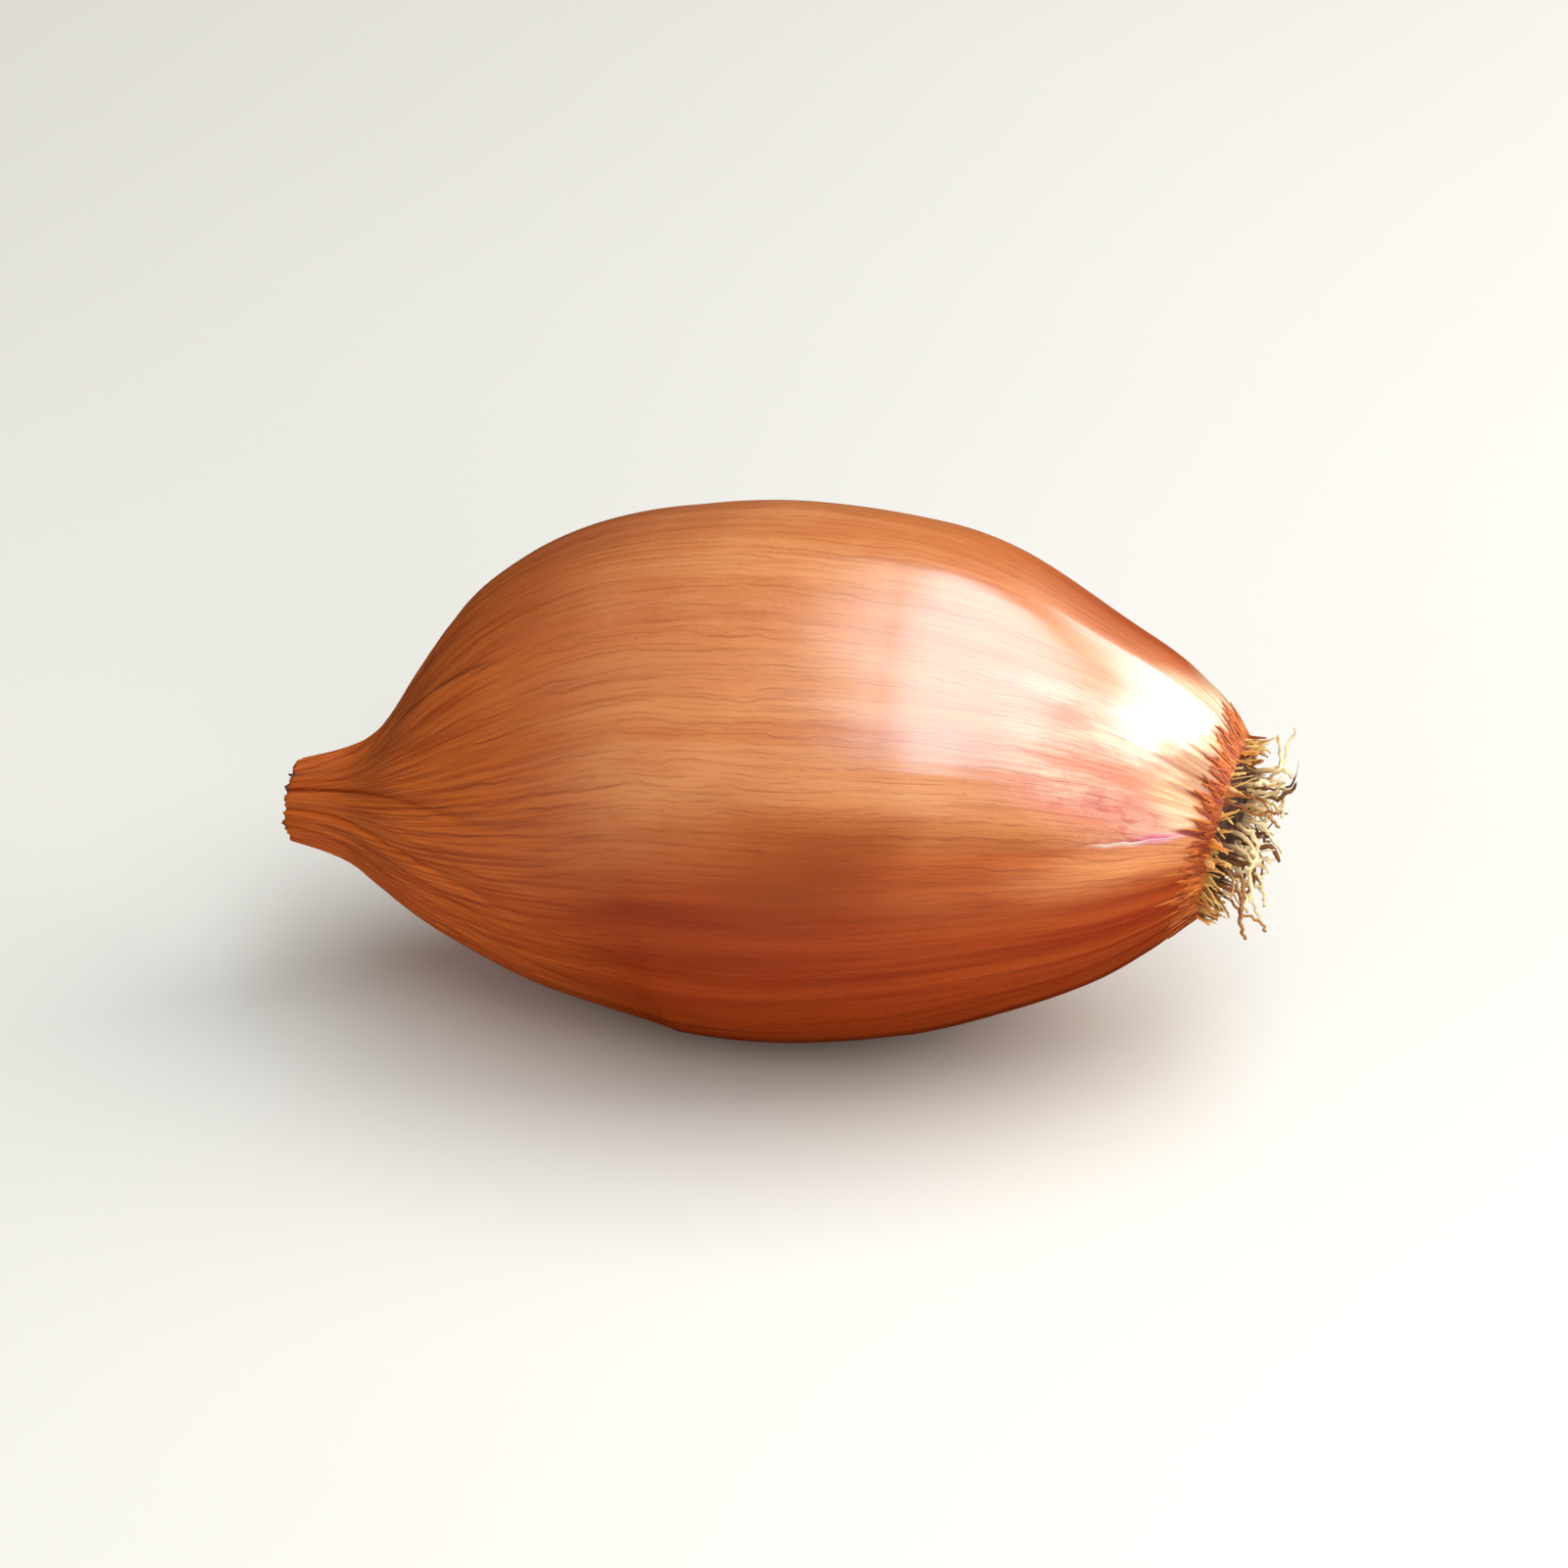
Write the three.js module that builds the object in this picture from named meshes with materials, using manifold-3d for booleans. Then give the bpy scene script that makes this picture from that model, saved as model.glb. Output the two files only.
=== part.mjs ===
// A whole shallot, as picked and dried, lying on its side on a table.
// It is one grown bulb: a plump body wrapped in dry skin that runs into a short cut neck at one end,
// and into a torn collar of skin round the basal plate at the other. The plate carries the dry rootlets.
// Millimetres, +Z up. +X points from the neck to the roots, and -Y is the side with the curve's hollow.
import * as THREE from "three";
import { mergeVertices } from "three/addons/utils/BufferGeometryUtils.js";
import Module from "manifold-3d";

const wasm = await Module();
wasm.setup();

// The body: its length from the basal plate to the cut neck, its widest radius, and where that lies.
const LENGTH = 65;
const BELLY_RADIUS = 18.5;
const BELLY_AT = 31;

// The outline as shares of the length and of the widest radius, from the basal plate to the neck.
const OUTLINE = [
  [0.0, 0.36],
  [0.045, 0.53],
  [0.105, 0.69],
  [0.195, 0.83],
  [0.315, 0.945],
  [0.478, 1.0],
  [0.63, 0.935],
  [0.748, 0.77],
  [0.845, 0.515],
  [0.925, 0.265],
  [1.0, 0.175],
];

// The centre line rises steadily from the neck to the roots. Near each end it also sinks, and bends
// towards -Y, by these amounts.
const RISE = 0.08;
const ROOT_SINK = 2.6;
const ROOT_BEND = 0.5;
const ROOT_BEND_FROM = 21;
const NECK_SINK = 2.3;
const NECK_BEND = 2;
const NECK_BEND_FROM = 37;
const NECK_BEND_TO = 59;

// The cross-section: soft lobes, and one side flattened where the bulb grew against its twin. The
// shoulder above the roots falls away more straightly than the rest of the outline.
const LOBES = [
  { count: 2, share: 0.02, turn: 2.1 },
  { count: 3, share: 0.017, turn: 1.9 },
  { count: 5, share: 0.006, turn: 0.2 },
];
const TWIN_SIDE = { turn: 3.6, spread: 0.55, share: 0.05 };
const SHOULDER = { turn: 2.0, spread: 0.8, share: 0.118, from: 3.5, along: 8, length: 6.5 };
const NECK_FLATTENING = 0.14;

// Lengthwise ribs in the dry skin. They deepen where it gathers at the two ends.
const RIBS = 24;
const STEPS_PER_RIB = 4;
const BELLY_RIB = 0.12;
const ROOT_RIB = 0.34;
const NECK_RIB = 0.42;
const NECK_TWIST = 0.5;

// The ends: the socket that holds the basal plate, and the hollow in the cut neck.
const SOCKET_DEPTH = 1.2;
const SOCKET_RADIUS = 5.9;
const RIM_RADIUS = 6.45;
const NECK_HOLLOW = 1.5;
const NECK_WALL = 0.75;
const NECK_RAG = 0.9;

// The small flat that the bulb rests on, as a depth cut off its lowest side.
const REST_CUT = 0.42;

// The torn collar of skin round the plate: teeth that lie back on the bulb, and shreds that stand out.
const TEETH = 21;
const SHREDS = 13;
const BLADE_THICK = 0.6;
const SHRED_SUNK = 1.1;

// The basal plate and its rootlets.
const PLATE_RADIUS = 5.4;
const PLATE_EDGE = 1.3;
const PLATE_CROWN = 0.8;
const PLATE_GAP = 0.3;
const ROOTLETS = 46;
const ROOTLET_RADIUS = 0.4;
const ROOTLET_SIDES = 4;
const ROOTLET_STEPS = 6;
const ROOTLET_STRAIGHT = 1.4;
const ROOTLET_SWING = 1.9;

const UP = new THREE.Vector3(0, 0, 1);
const GOLDEN_TURN = Math.PI * (3 - Math.sqrt(5));
const { smoothstep, lerp } = THREE.MathUtils;

// A repeatable stream of numbers from 0 to 1.
function seededDraw(seed) {
  let state = seed >>> 0;
  return () => {
    state = (state + 0x6d2b79f5) >>> 0;
    let mixed = Math.imul(state ^ (state >>> 15), state | 1);
    mixed ^= mixed + Math.imul(mixed ^ (mixed >>> 7), mixed | 61);
    return ((mixed ^ (mixed >>> 14)) >>> 0) / 4294967296;
  };
}

// A number from 0 to 1 that belongs to a whole number, the same each time.
const fixedDraw = (index, seed) => seededDraw(index * 7919 + seed)();

// A point of the centre line at a distance from the plate.
function centrePoint(along) {
  const atRoot = Math.max(1 - along / ROOT_BEND_FROM, 0) ** 2;
  const atNeck = smoothstep(along, NECK_BEND_FROM, NECK_BEND_TO);
  const height = RISE * (BELLY_AT - along) - ROOT_SINK * atRoot - NECK_SINK * atNeck;
  return new THREE.Vector3(-along, -ROOT_BEND * atRoot - NECK_BEND * atNeck, height);
}

// That point with the three directions there: towards the neck, upwards and towards -Y.
function centreLine(along) {
  const point = centrePoint(along);
  const forward = centrePoint(along + 0.1).sub(centrePoint(along - 0.1)).normalize();
  const up = UP.clone().addScaledVector(forward, -UP.dot(forward)).normalize();
  const side = up.clone().cross(forward);
  return { point, forward, up, side };
}

const outlineCurve = new THREE.SplineCurve(
  OUTLINE.map(([share, radius]) => new THREE.Vector2(share * LENGTH, radius * BELLY_RADIUS)),
);

// The body's radius at a distance from the plate, read off the outline by halving.
function outlineRadius(along) {
  let low = 0;
  let high = 1;
  for (let step = 0; step < 30; step++) {
    const middle = (low + high) / 2;
    if (outlineCurve.getPoint(middle).x < along) low = middle;
    else high = middle;
  }
  return outlineCurve.getPoint((low + high) / 2).y;
}

// The ribs lie a little unevenly round the bulb, and no two are equally deep.
const unevenTurn = (turn) => turn + 0.05 * Math.sin(3 * turn + 1) + 0.03 * Math.sin(7 * turn);

function ribDepth(along) {
  const nearRoot = 1 - smoothstep(along, 0, 7);
  const nearNeck = smoothstep(along, 47, 62);
  return BELLY_RIB + (ROOT_RIB - BELLY_RIB) * nearRoot + (NECK_RIB - BELLY_RIB) * nearNeck;
}

function ribRelief(step, along) {
  const rib = Math.floor(step / STEPS_PER_RIB);
  const within = (step % STEPS_PER_RIB) / STEPS_PER_RIB;
  const strength = 0.45 + 0.55 * fixedDraw(rib % RIBS, 11);
  return -ribDepth(along) * strength * Math.sin(Math.PI * within);
}

// The share of the radius that a flattened side takes off at a turn.
function flattened(turn, side) {
  const away = Math.atan2(Math.sin(turn - side.turn), Math.cos(turn - side.turn));
  return side.share * Math.exp(-((away / side.spread) ** 2));
}

function sectionShare(turn, along) {
  const body = smoothstep(along, -4, 16) * (1 - 0.75 * smoothstep(along, 48, 62));
  let share = 1;
  for (const lobe of LOBES) share += body * lobe.share * Math.cos(lobe.count * (turn - lobe.turn));
  share -= body * flattened(turn, TWIN_SIDE);
  const onShoulder = smoothstep(along, 0, SHOULDER.from);
  const nearShoulder = Math.exp(-(((along - SHOULDER.along) / SHOULDER.length) ** 2));
  share -= flattened(turn, SHOULDER) * onShoulder * nearShoulder;
  return share + NECK_FLATTENING * smoothstep(along, 52, 64) * Math.cos(2 * turn);
}

// A point of the skin. radius replaces the outline's own where a ring lies inside the rim.
function skinPoint(step, along, radius = outlineRadius(along), relief = 1) {
  const { point, up, side } = centreLine(along);
  const even = (step / (RIBS * STEPS_PER_RIB)) * 2 * Math.PI;
  const turn = unevenTurn(even) + NECK_TWIST * smoothstep(along, 44, LENGTH);
  const reach = radius * sectionShare(turn, along) + relief * ribRelief(step, along);
  return point
    .clone()
    .addScaledVector(side, reach * Math.cos(turn))
    .addScaledVector(up, reach * Math.sin(turn));
}

// A closed surface through rings of points, with a fan from a middle point at each end.
function loft(rings, firstMiddle, lastMiddle) {
  const count = rings[0].length;
  const points = [...rings.flat(), firstMiddle, lastMiddle];
  const first = points.length - 2;
  const last = points.length - 1;
  const faces = [];
  for (let ring = 0; ring + 1 < rings.length; ring++) {
    for (let k = 0; k < count; k++) {
      const here = ring * count + k;
      const beside = ring * count + ((k + 1) % count);
      faces.push(here, beside, here + count, beside, beside + count, here + count);
    }
  }
  const end = (rings.length - 1) * count;
  for (let k = 0; k < count; k++) {
    faces.push(first, (k + 1) % count, k, last, end + k, end + ((k + 1) % count));
  }
  return new THREE.BufferGeometry().setFromPoints(points).setIndex(faces);
}

function solidOf(geometry) {
  const bare = geometry.clone();
  for (const name of Object.keys(bare.attributes)) {
    if (name !== "position") bare.deleteAttribute(name);
  }
  const merged = mergeVertices(bare, 1e-4);
  return new wasm.Manifold(
    new wasm.Mesh({
      numProp: 3,
      vertProperties: merged.attributes.position.array,
      triVerts: new Uint32Array(merged.index.array),
    }),
  );
}

function geometryOf(solid) {
  const { numProp, numVert, vertProperties, triVerts } = solid.getMesh();
  const positions = new Float32Array(numVert * 3);
  for (let k = 0; k < numVert; k++) {
    positions.set(vertProperties.subarray(k * numProp, k * numProp + 3), k * 3);
  }
  const geometry = new THREE.BufferGeometry();
  geometry.setAttribute("position", new THREE.BufferAttribute(positions, 3));
  geometry.setIndex(new THREE.BufferAttribute(triVerts, 1));
  geometry.computeVertexNormals();
  return geometry;
}

// The body with its socket and its cut neck, as one loft from the socket's floor to the neck's hollow.
function bodySolid() {
  const steps = [...Array(RIBS * STEPS_PER_RIB).keys()];
  const ring = (along, radius, relief) => steps.map((s) => skinPoint(s, along, radius, relief));
  const rings = [
    ring(SOCKET_DEPTH, SOCKET_RADIUS - 0.1, 0),
    ring(0, SOCKET_RADIUS, 0),
    ring(0, RIM_RADIUS, 0.3),
  ];
  const stations = 34;
  for (let k = 1; k <= stations; k++) {
    const share = k / stations;
    const eased = lerp(share, (1 - Math.cos(Math.PI * share)) / 2, 0.45);
    rings.push(ring(eased * (LENGTH - 1)));
  }
  const neckRadius = outlineRadius(LENGTH);
  const rag = (s) => NECK_RAG * (fixedDraw(Math.floor(s / 6), 5) - 0.5);
  rings.push(steps.map((s) => skinPoint(s, LENGTH + rag(s), neckRadius)));
  rings.push(steps.map((s) => skinPoint(s, LENGTH + rag(s), neckRadius - NECK_WALL)));
  rings.push(ring(LENGTH - NECK_HOLLOW, neckRadius - NECK_WALL - 0.3));
  return solidOf(
    loft(rings, centreLine(SOCKET_DEPTH).point, centreLine(LENGTH - NECK_HOLLOW + 0.4).point),
  );
}

// A thin blade through the given points. across lies along its width.
function bladeSolid(points, across, widths) {
  const rings = points.map((point, k) => {
    const before = points[Math.max(k - 1, 0)];
    const after = points[Math.min(k + 1, points.length - 1)];
    const face = after.clone().sub(before).cross(across).normalize();
    const half = widths[k] / 2;
    const thick = BLADE_THICK / 2;
    return [
      [-half, -thick],
      [half, -thick],
      [half, thick],
      [-half, thick],
    ].map(([a, b]) => point.clone().addScaledVector(across, a).addScaledVector(face, b));
  });
  const middleOf = (ring) => ring.reduce((sum, p) => sum.add(p), new THREE.Vector3()).divideScalar(4);
  return solidOf(loft(rings, middleOf(rings[0]), middleOf(rings.at(-1))));
}

// A tooth of torn skin, half sunk in the bulb. It runs from the rim back over the bulb's shoulder.
function toothSolid(index) {
  const draw = seededDraw(index * 57 + 2);
  const turn = ((index + 0.5 * (draw() - 0.5)) / TEETH) * 2 * Math.PI;
  const width = lerp(1.3, 2.5, draw());
  const length = lerp(1.2, 3.4, draw() ** 1.3);
  const lean = 0.16 * (draw() - 0.5);
  const points = [-0.25, 0.2 * length, 0.6 * length, length].map((along) => {
    const { point, up, side } = centreLine(along);
    const leant = turn + lean * along;
    const reach = along < 0 ? RIM_RADIUS - 0.2 : outlineRadius(along) * sectionShare(leant, along);
    return point
      .addScaledVector(side, reach * Math.cos(leant))
      .addScaledVector(up, reach * Math.sin(leant));
  });
  const { forward, up, side } = centreLine(0);
  const outward = side.clone().multiplyScalar(Math.cos(turn)).addScaledVector(up, Math.sin(turn));
  const widths = [1, 1, 0.75, 0.2].map((share) => share * width);
  return bladeSolid(points, outward.cross(forward), widths);
}

// A shred of torn skin that stands out of the rim round the plate.
function shredSolid(index) {
  const draw = seededDraw(index * 31 + 4);
  const turn = ((index + 0.6 * (draw() - 0.5)) / SHREDS) * 2 * Math.PI;
  const width = lerp(1.0, 2.6, draw());
  const length = lerp(0.5, 1.6, draw());
  const flare = lerp(0.05, 0.8, draw());
  const lean = 0.8 * (draw() - 0.5);
  const { point, forward, up, side } = centreLine(0);
  const outward = side.clone().multiplyScalar(Math.cos(turn)).addScaledVector(up, Math.sin(turn));
  const across = forward.clone().cross(outward);
  const points = [-SHRED_SUNK, -0.2, 0.5 * length, length].map((reach) => {
    const out = Math.max(reach, 0);
    return point
      .clone()
      .addScaledVector(forward, -reach)
      .addScaledVector(outward, RIM_RADIUS - 0.05 + flare * out * (0.6 + 0.15 * out))
      .addScaledVector(across, lean * out);
  });
  return bladeSolid(points, across, [1, 1, 0.8, 0.3].map((share) => share * width));
}

// The lowest part of the skin is cut level, which leaves the small flat that it rests on.
function restCut(solid) {
  const geometry = geometryOf(solid);
  geometry.computeBoundingBox();
  const { min, max } = geometry.boundingBox;
  const size = new THREE.Vector3().subVectors(max, min).multiplyScalar(2);
  const under = new THREE.BoxGeometry(size.x, size.y, size.z);
  under.translate((min.x + max.x) / 2, (min.y + max.y) / 2, min.z + REST_CUT - size.z / 2);
  return solid.subtract(solidOf(under));
}

function bulbGeometry() {
  let bulb = bodySolid();
  for (let k = 0; k < TEETH; k++) bulb = bulb.add(toothSolid(k));
  for (let k = 0; k < SHREDS; k++) bulb = bulb.add(shredSolid(k));
  return geometryOf(restCut(bulb));
}

// Turns a shape made round +Y, such as a lathe, to stand on the root end and point out of it.
function rootEndMatrix(outBy) {
  const { point, forward, up, side } = centreLine(0);
  const outward = forward.clone().negate();
  const matrix = new THREE.Matrix4().makeBasis(side, outward, up.clone());
  return matrix.setPosition(point.clone().addScaledVector(outward, outBy));
}

// The basal plate: a low disc with a raised edge and a sunken middle, seated in the socket.
function plateSolid() {
  const crest = PLATE_EDGE + PLATE_CROWN;
  const profile = new THREE.Shape();
  profile.moveTo(0, 0);
  profile.lineTo(PLATE_RADIUS - 0.4, 0);
  profile.lineTo(PLATE_RADIUS, 0.5);
  profile.quadraticCurveTo(PLATE_RADIUS - 0.1, crest, PLATE_RADIUS * 0.62, crest);
  profile.quadraticCurveTo(PLATE_RADIUS * 0.3, crest - 0.1, 0, PLATE_EDGE);
  const plate = new THREE.LatheGeometry(profile.getPoints(4), 28);
  return plate.applyMatrix4(rootEndMatrix(PLATE_GAP - SOCKET_DEPTH));
}

// The path of one dry rootlet: straight out of the plate past the collar, then curling over and
// round, the outer ones outwards and down over the collar, the inner ones any way.
function rootletPath(index) {
  const draw = seededDraw(index * 101 + 9);
  const spread = Math.sqrt((index + 0.6) / ROOTLETS);
  const turn = index * GOLDEN_TURN;
  const away = new THREE.Vector3(Math.cos(turn), 0, Math.sin(turn));
  const stray = (draw() - 0.5) * 2 * Math.PI;
  const curl = away
    .clone()
    .multiplyScalar(spread)
    .add(new THREE.Vector3(Math.cos(stray), 0, Math.sin(stray)).multiplyScalar(0.9))
    .add(new THREE.Vector3(0, 0, -0.7))
    .normalize();
  const bend = lerp(0.4, 1.8, draw());
  const length = lerp(1.6, 3.0, draw()) + 2.6 * (bend - 0.4) * spread;
  const swirl = lerp(-0.4, 0.4, draw());
  const heading = new THREE.Vector3(0, 1, 0).addScaledVector(away, 0.12 * spread).normalize();
  const place = away.clone().multiplyScalar(spread * (PLATE_RADIUS - 1)).setY(PLATE_EDGE - 1);
  const points = [place.clone()];
  const stride = (length + 1) / ROOTLET_STEPS;
  for (let k = 0; k < ROOTLET_STEPS; k++) {
    const past = Math.max((k + 0.5) * stride - 1 - ROOTLET_STRAIGHT, 0);
    const angle = bend * Math.min(past / ROOTLET_SWING, 1);
    const over = curl.clone().applyAxisAngle(new THREE.Vector3(0, 1, 0), swirl * past);
    place.addScaledVector(heading, stride * Math.cos(angle));
    place.addScaledVector(over, stride * Math.sin(angle));
    points.push(place.clone());
  }
  return new THREE.CatmullRomCurve3(points);
}

function rootletSolid(index) {
  const path = rootletPath(index);
  const frames = path.computeFrenetFrames(ROOTLET_STEPS);
  const rings = [];
  for (let k = 0; k <= ROOTLET_STEPS; k++) {
    const middle = path.getPointAt(k / ROOTLET_STEPS);
    const radius = ROOTLET_RADIUS * lerp(1.1, 0.6, k / ROOTLET_STEPS);
    const corners = [...Array(ROOTLET_SIDES).keys()].map((side) => {
      const angle = (side / ROOTLET_SIDES) * 2 * Math.PI;
      return middle
        .clone()
        .addScaledVector(frames.normals[k], radius * Math.cos(angle))
        .addScaledVector(frames.binormals[k], radius * Math.sin(angle));
    });
    rings.push(corners);
  }
  const tube = loft(rings, path.getPointAt(0), path.getPointAt(1));
  return solidOf(tube.applyMatrix4(rootEndMatrix(PLATE_GAP - SOCKET_DEPTH)));
}

function rootTuftGeometry() {
  let tuft = solidOf(plateSolid());
  for (let k = 0; k < ROOTLETS; k++) tuft = tuft.add(rootletSolid(k));
  return geometryOf(tuft);
}

function piece(name, geometry, color, roughness) {
  const material = new THREE.MeshStandardMaterial({ color, roughness, metalness: 0 });
  const mesh = new THREE.Mesh(geometry, material);
  mesh.name = name;
  return mesh;
}

const shallot = new THREE.Group();
shallot.add(piece("bulb", bulbGeometry(), 0xc07a4c, 0.35));
shallot.add(piece("root_tuft", rootTuftGeometry(), 0xb9925e, 0.85));

// The origin is the middle of the shallot's outer box, on the table.
const box = new THREE.Box3().setFromObject(shallot, true);
const middle = box.getCenter(new THREE.Vector3());
shallot.position.set(-middle.x, -middle.y, -box.min.z);
shallot.updateMatrixWorld(true);

export default shallot;
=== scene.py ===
"""A whole shallot on a pale floor: dry skin with a torn edge, a cut neck, a torn collar and rootlets."""

import math

import bpy
import numpy as np
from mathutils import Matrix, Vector


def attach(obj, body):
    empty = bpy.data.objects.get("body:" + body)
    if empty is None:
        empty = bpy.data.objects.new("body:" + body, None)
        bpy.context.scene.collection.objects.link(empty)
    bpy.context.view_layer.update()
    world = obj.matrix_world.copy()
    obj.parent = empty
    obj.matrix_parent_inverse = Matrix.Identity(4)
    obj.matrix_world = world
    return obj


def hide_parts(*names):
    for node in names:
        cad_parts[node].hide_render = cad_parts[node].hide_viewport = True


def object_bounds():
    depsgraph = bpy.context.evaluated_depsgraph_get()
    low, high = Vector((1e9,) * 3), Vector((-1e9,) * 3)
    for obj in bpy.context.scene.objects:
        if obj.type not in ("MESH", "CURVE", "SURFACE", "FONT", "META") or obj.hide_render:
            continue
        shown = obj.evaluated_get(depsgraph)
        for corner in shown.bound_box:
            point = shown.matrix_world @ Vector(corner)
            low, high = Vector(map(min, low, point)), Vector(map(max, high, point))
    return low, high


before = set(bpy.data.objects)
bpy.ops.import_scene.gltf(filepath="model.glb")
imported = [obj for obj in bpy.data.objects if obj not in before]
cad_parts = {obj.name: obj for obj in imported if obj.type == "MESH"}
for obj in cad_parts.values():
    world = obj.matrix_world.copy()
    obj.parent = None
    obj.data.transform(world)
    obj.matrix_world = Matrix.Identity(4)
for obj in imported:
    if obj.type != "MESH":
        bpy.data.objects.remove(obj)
cad_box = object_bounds()
scene = bpy.context.scene

MM = 0.001
TURN = 2 * math.pi

# The driving sizes, the same as the solid's, in millimetres and radians. Everywhere, along is a distance
# from the basal plate towards the neck. A turn is 0 on the side of the camera, and a quarter turn on top.
LENGTH = 65.0
BELLY_RADIUS = 18.5
BELLY_AT = 31.0
OUTLINE = (
    (0.0, 0.36), (0.045, 0.53), (0.105, 0.69), (0.195, 0.83), (0.315, 0.945), (0.478, 1.0),
    (0.63, 0.935), (0.748, 0.77), (0.845, 0.515), (0.925, 0.265), (1.0, 0.175),
)
RISE = 0.08
ROOT_SINK = 2.6
ROOT_BEND = 0.5
ROOT_BEND_FROM = 21.0
NECK_SINK = 2.3
NECK_BEND = 2.0
NECK_BEND_FROM = 37.0
NECK_BEND_TO = 59.0
LOBES = ((2, 0.02, 2.1), (3, 0.017, 1.9), (5, 0.006, 0.2))
TWIN_TURN = 3.6
TWIN_SPREAD = 0.55
TWIN_SHARE = 0.05
SHOULDER_TURN = 2.0
SHOULDER_SPREAD = 0.8
SHOULDER_SHARE = 0.118
SHOULDER_FROM = 3.5
SHOULDER_AT = 8.0
SHOULDER_LENGTH = 6.5
NECK_FLATTENING = 0.14
RIBS = 24
BELLY_RIB = 0.12
ROOT_RIB = 0.34
NECK_RIB = 0.42
NECK_TWIST = 0.5
SOCKET_DEPTH = 1.2
RIM_RADIUS = 6.45
NECK_RAG = 0.9
TEETH = 21
SHREDS = 13
SHRED_SUNK = 1.1
PLATE_RADIUS = 5.4
PLATE_EDGE = 1.3
PLATE_CROWN = 0.8
PLATE_GAP = 0.3
PLATE_OUT = PLATE_GAP - SOCKET_DEPTH
ROOTLETS = 46
ROOTLET_RADIUS = 0.4
ROOTLET_STEPS = 6
ROOTLET_STRAIGHT = 1.4
ROOTLET_SWING = 1.9
# Where the basal plate's middle lies from the middle of the outer box.
ROOT_PLACE = np.array([30.577, 0.493, 18.024])

# What this scene sets by itself, for shallower ribs, a shorter neck, and more and finer strips and strands.
RIB_SHOWN = 0.45
ROOT_RIB_SHOWN = 0.15
NECK_SHORT = 0.12
BELLY_SOFTNESS = 0.02
FINE_TEETH = 210
FINE_SHREDS = 150
FINE_ROOTLETS = 30
FINE_ROOTLET_STEPS = 14
TOOTH_WIDTH_SHOWN = 0.32
TOOTH_LENGTH_SHOWN = 0.62
SHRED_WIDTH_SHOWN = 0.45
TOOTH_THICK = 0.07
SHRED_THICK = 0.1
LINING_THICK = 0.06
TORN_ROWS = 16
TORN_COLUMNS = 9


def ramp(value, low, high):
    """0 up to the low value, 1 from the high one on, and smooth between them."""
    share = np.clip((np.asarray(value, float) - low) / (high - low), 0, 1)
    return share * share * (3 - 2 * share)


def fade(value, low, high):
    """The same the other way round, from 1 to 0."""
    return 1 - ramp(value, low, high)


def bell(value, middle, width):
    """1 at the middle, and close to 0 two widths away from it."""
    return np.exp(-(((value - middle) / width) ** 2))


def turn_from(middle, turn):
    """How far a turn is from another, at most half a turn either way."""
    return np.mod(turn - middle + math.pi, TURN) - math.pi


def lerp(low, high, share):
    return low + (high - low) * share


def seeded_draw(seed):
    """A repeatable stream of numbers from 0 to 1, the same as the solid's."""
    state = seed & 0xFFFFFFFF

    def draw():
        nonlocal state
        state = (state + 0x6D2B79F5) & 0xFFFFFFFF
        mixed = ((state ^ (state >> 15)) * (state | 1)) & 0xFFFFFFFF
        mixed ^= (mixed + ((mixed ^ (mixed >> 7)) * (mixed | 61))) & 0xFFFFFFFF
        return (mixed ^ (mixed >> 14)) / 4294967296

    return draw


def fixed_draw(index, seed):
    """A number from 0 to 1 that belongs to a whole number."""
    return seeded_draw(index * 7919 + seed)()


def catmull_rom(points, per_span):
    """Points along a smooth uniform curve through the given ones, as an array."""
    points = np.asarray(points, float)
    padded = np.vstack([points[:1], points, points[-1:]])
    spans = []
    for k in range(len(points) - 1):
        before, start, end, after = padded[k : k + 4]
        t = np.linspace(0, 1, per_span, endpoint=False)[:, None]
        lead, trail = (end - before) / 2, (after - start) / 2
        cubic = (2 * start - 2 * end + lead + trail) * t**3
        square = (-3 * start + 3 * end - 2 * lead - trail) * t**2
        spans.append(cubic + square + lead * t + start)
    return np.vstack(spans + [points[-1:]])


def unit(vectors):
    return vectors / np.linalg.norm(vectors, axis=-1, keepdims=True)


outline_table = catmull_rom([(s * LENGTH, r * BELLY_RADIUS) for s, r in OUTLINE], per_span=40)


def outline_radius(along):
    return np.interp(along, outline_table[:, 0], outline_table[:, 1])


def centre_point(along):
    along = np.asarray(along, float)
    at_root = np.maximum(1 - along / ROOT_BEND_FROM, 0) ** 2
    at_neck = ramp(along, NECK_BEND_FROM, NECK_BEND_TO)
    height = RISE * (BELLY_AT - along) - ROOT_SINK * at_root - NECK_SINK * at_neck
    return np.stack([-along, -ROOT_BEND * at_root - NECK_BEND * at_neck, height], -1)


def centre_line(along):
    """Points of the centre line, and the directions to the neck, up and to -Y."""
    forward = unit(centre_point(along + 0.1) - centre_point(along - 0.1))
    up = unit(np.array([0, 0, 1.0]) - forward * forward[..., 2:])
    return centre_point(along) + ROOT_PLACE, forward, up, np.cross(up, forward)


def ripples(turn, along, counts, drift, seed):
    """A smooth uneven field that closes on itself round the bulb, from about -1 to 1."""
    draw = np.random.default_rng(seed)
    total = 0
    for count in counts:
        phase, lean = draw.uniform(0, TURN), draw.uniform(-drift, drift)
        total = total + np.sin(count * turn + lean * along + phase)
    return total / math.sqrt(len(counts))


def uneven_turn(turn):
    """The turn moved a little, because the ribs aren't evenly spaced."""
    return turn + 0.05 * np.sin(3 * turn + 1) + 0.03 * np.sin(7 * turn)


even_table = np.linspace(-TURN, 2 * TURN, 4000)


def even_turn(turn):
    """The turn before the ribs' uneven spacing: uneven_turn looked up backwards."""
    return np.interp(turn, uneven_turn(even_table), even_table)


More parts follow.
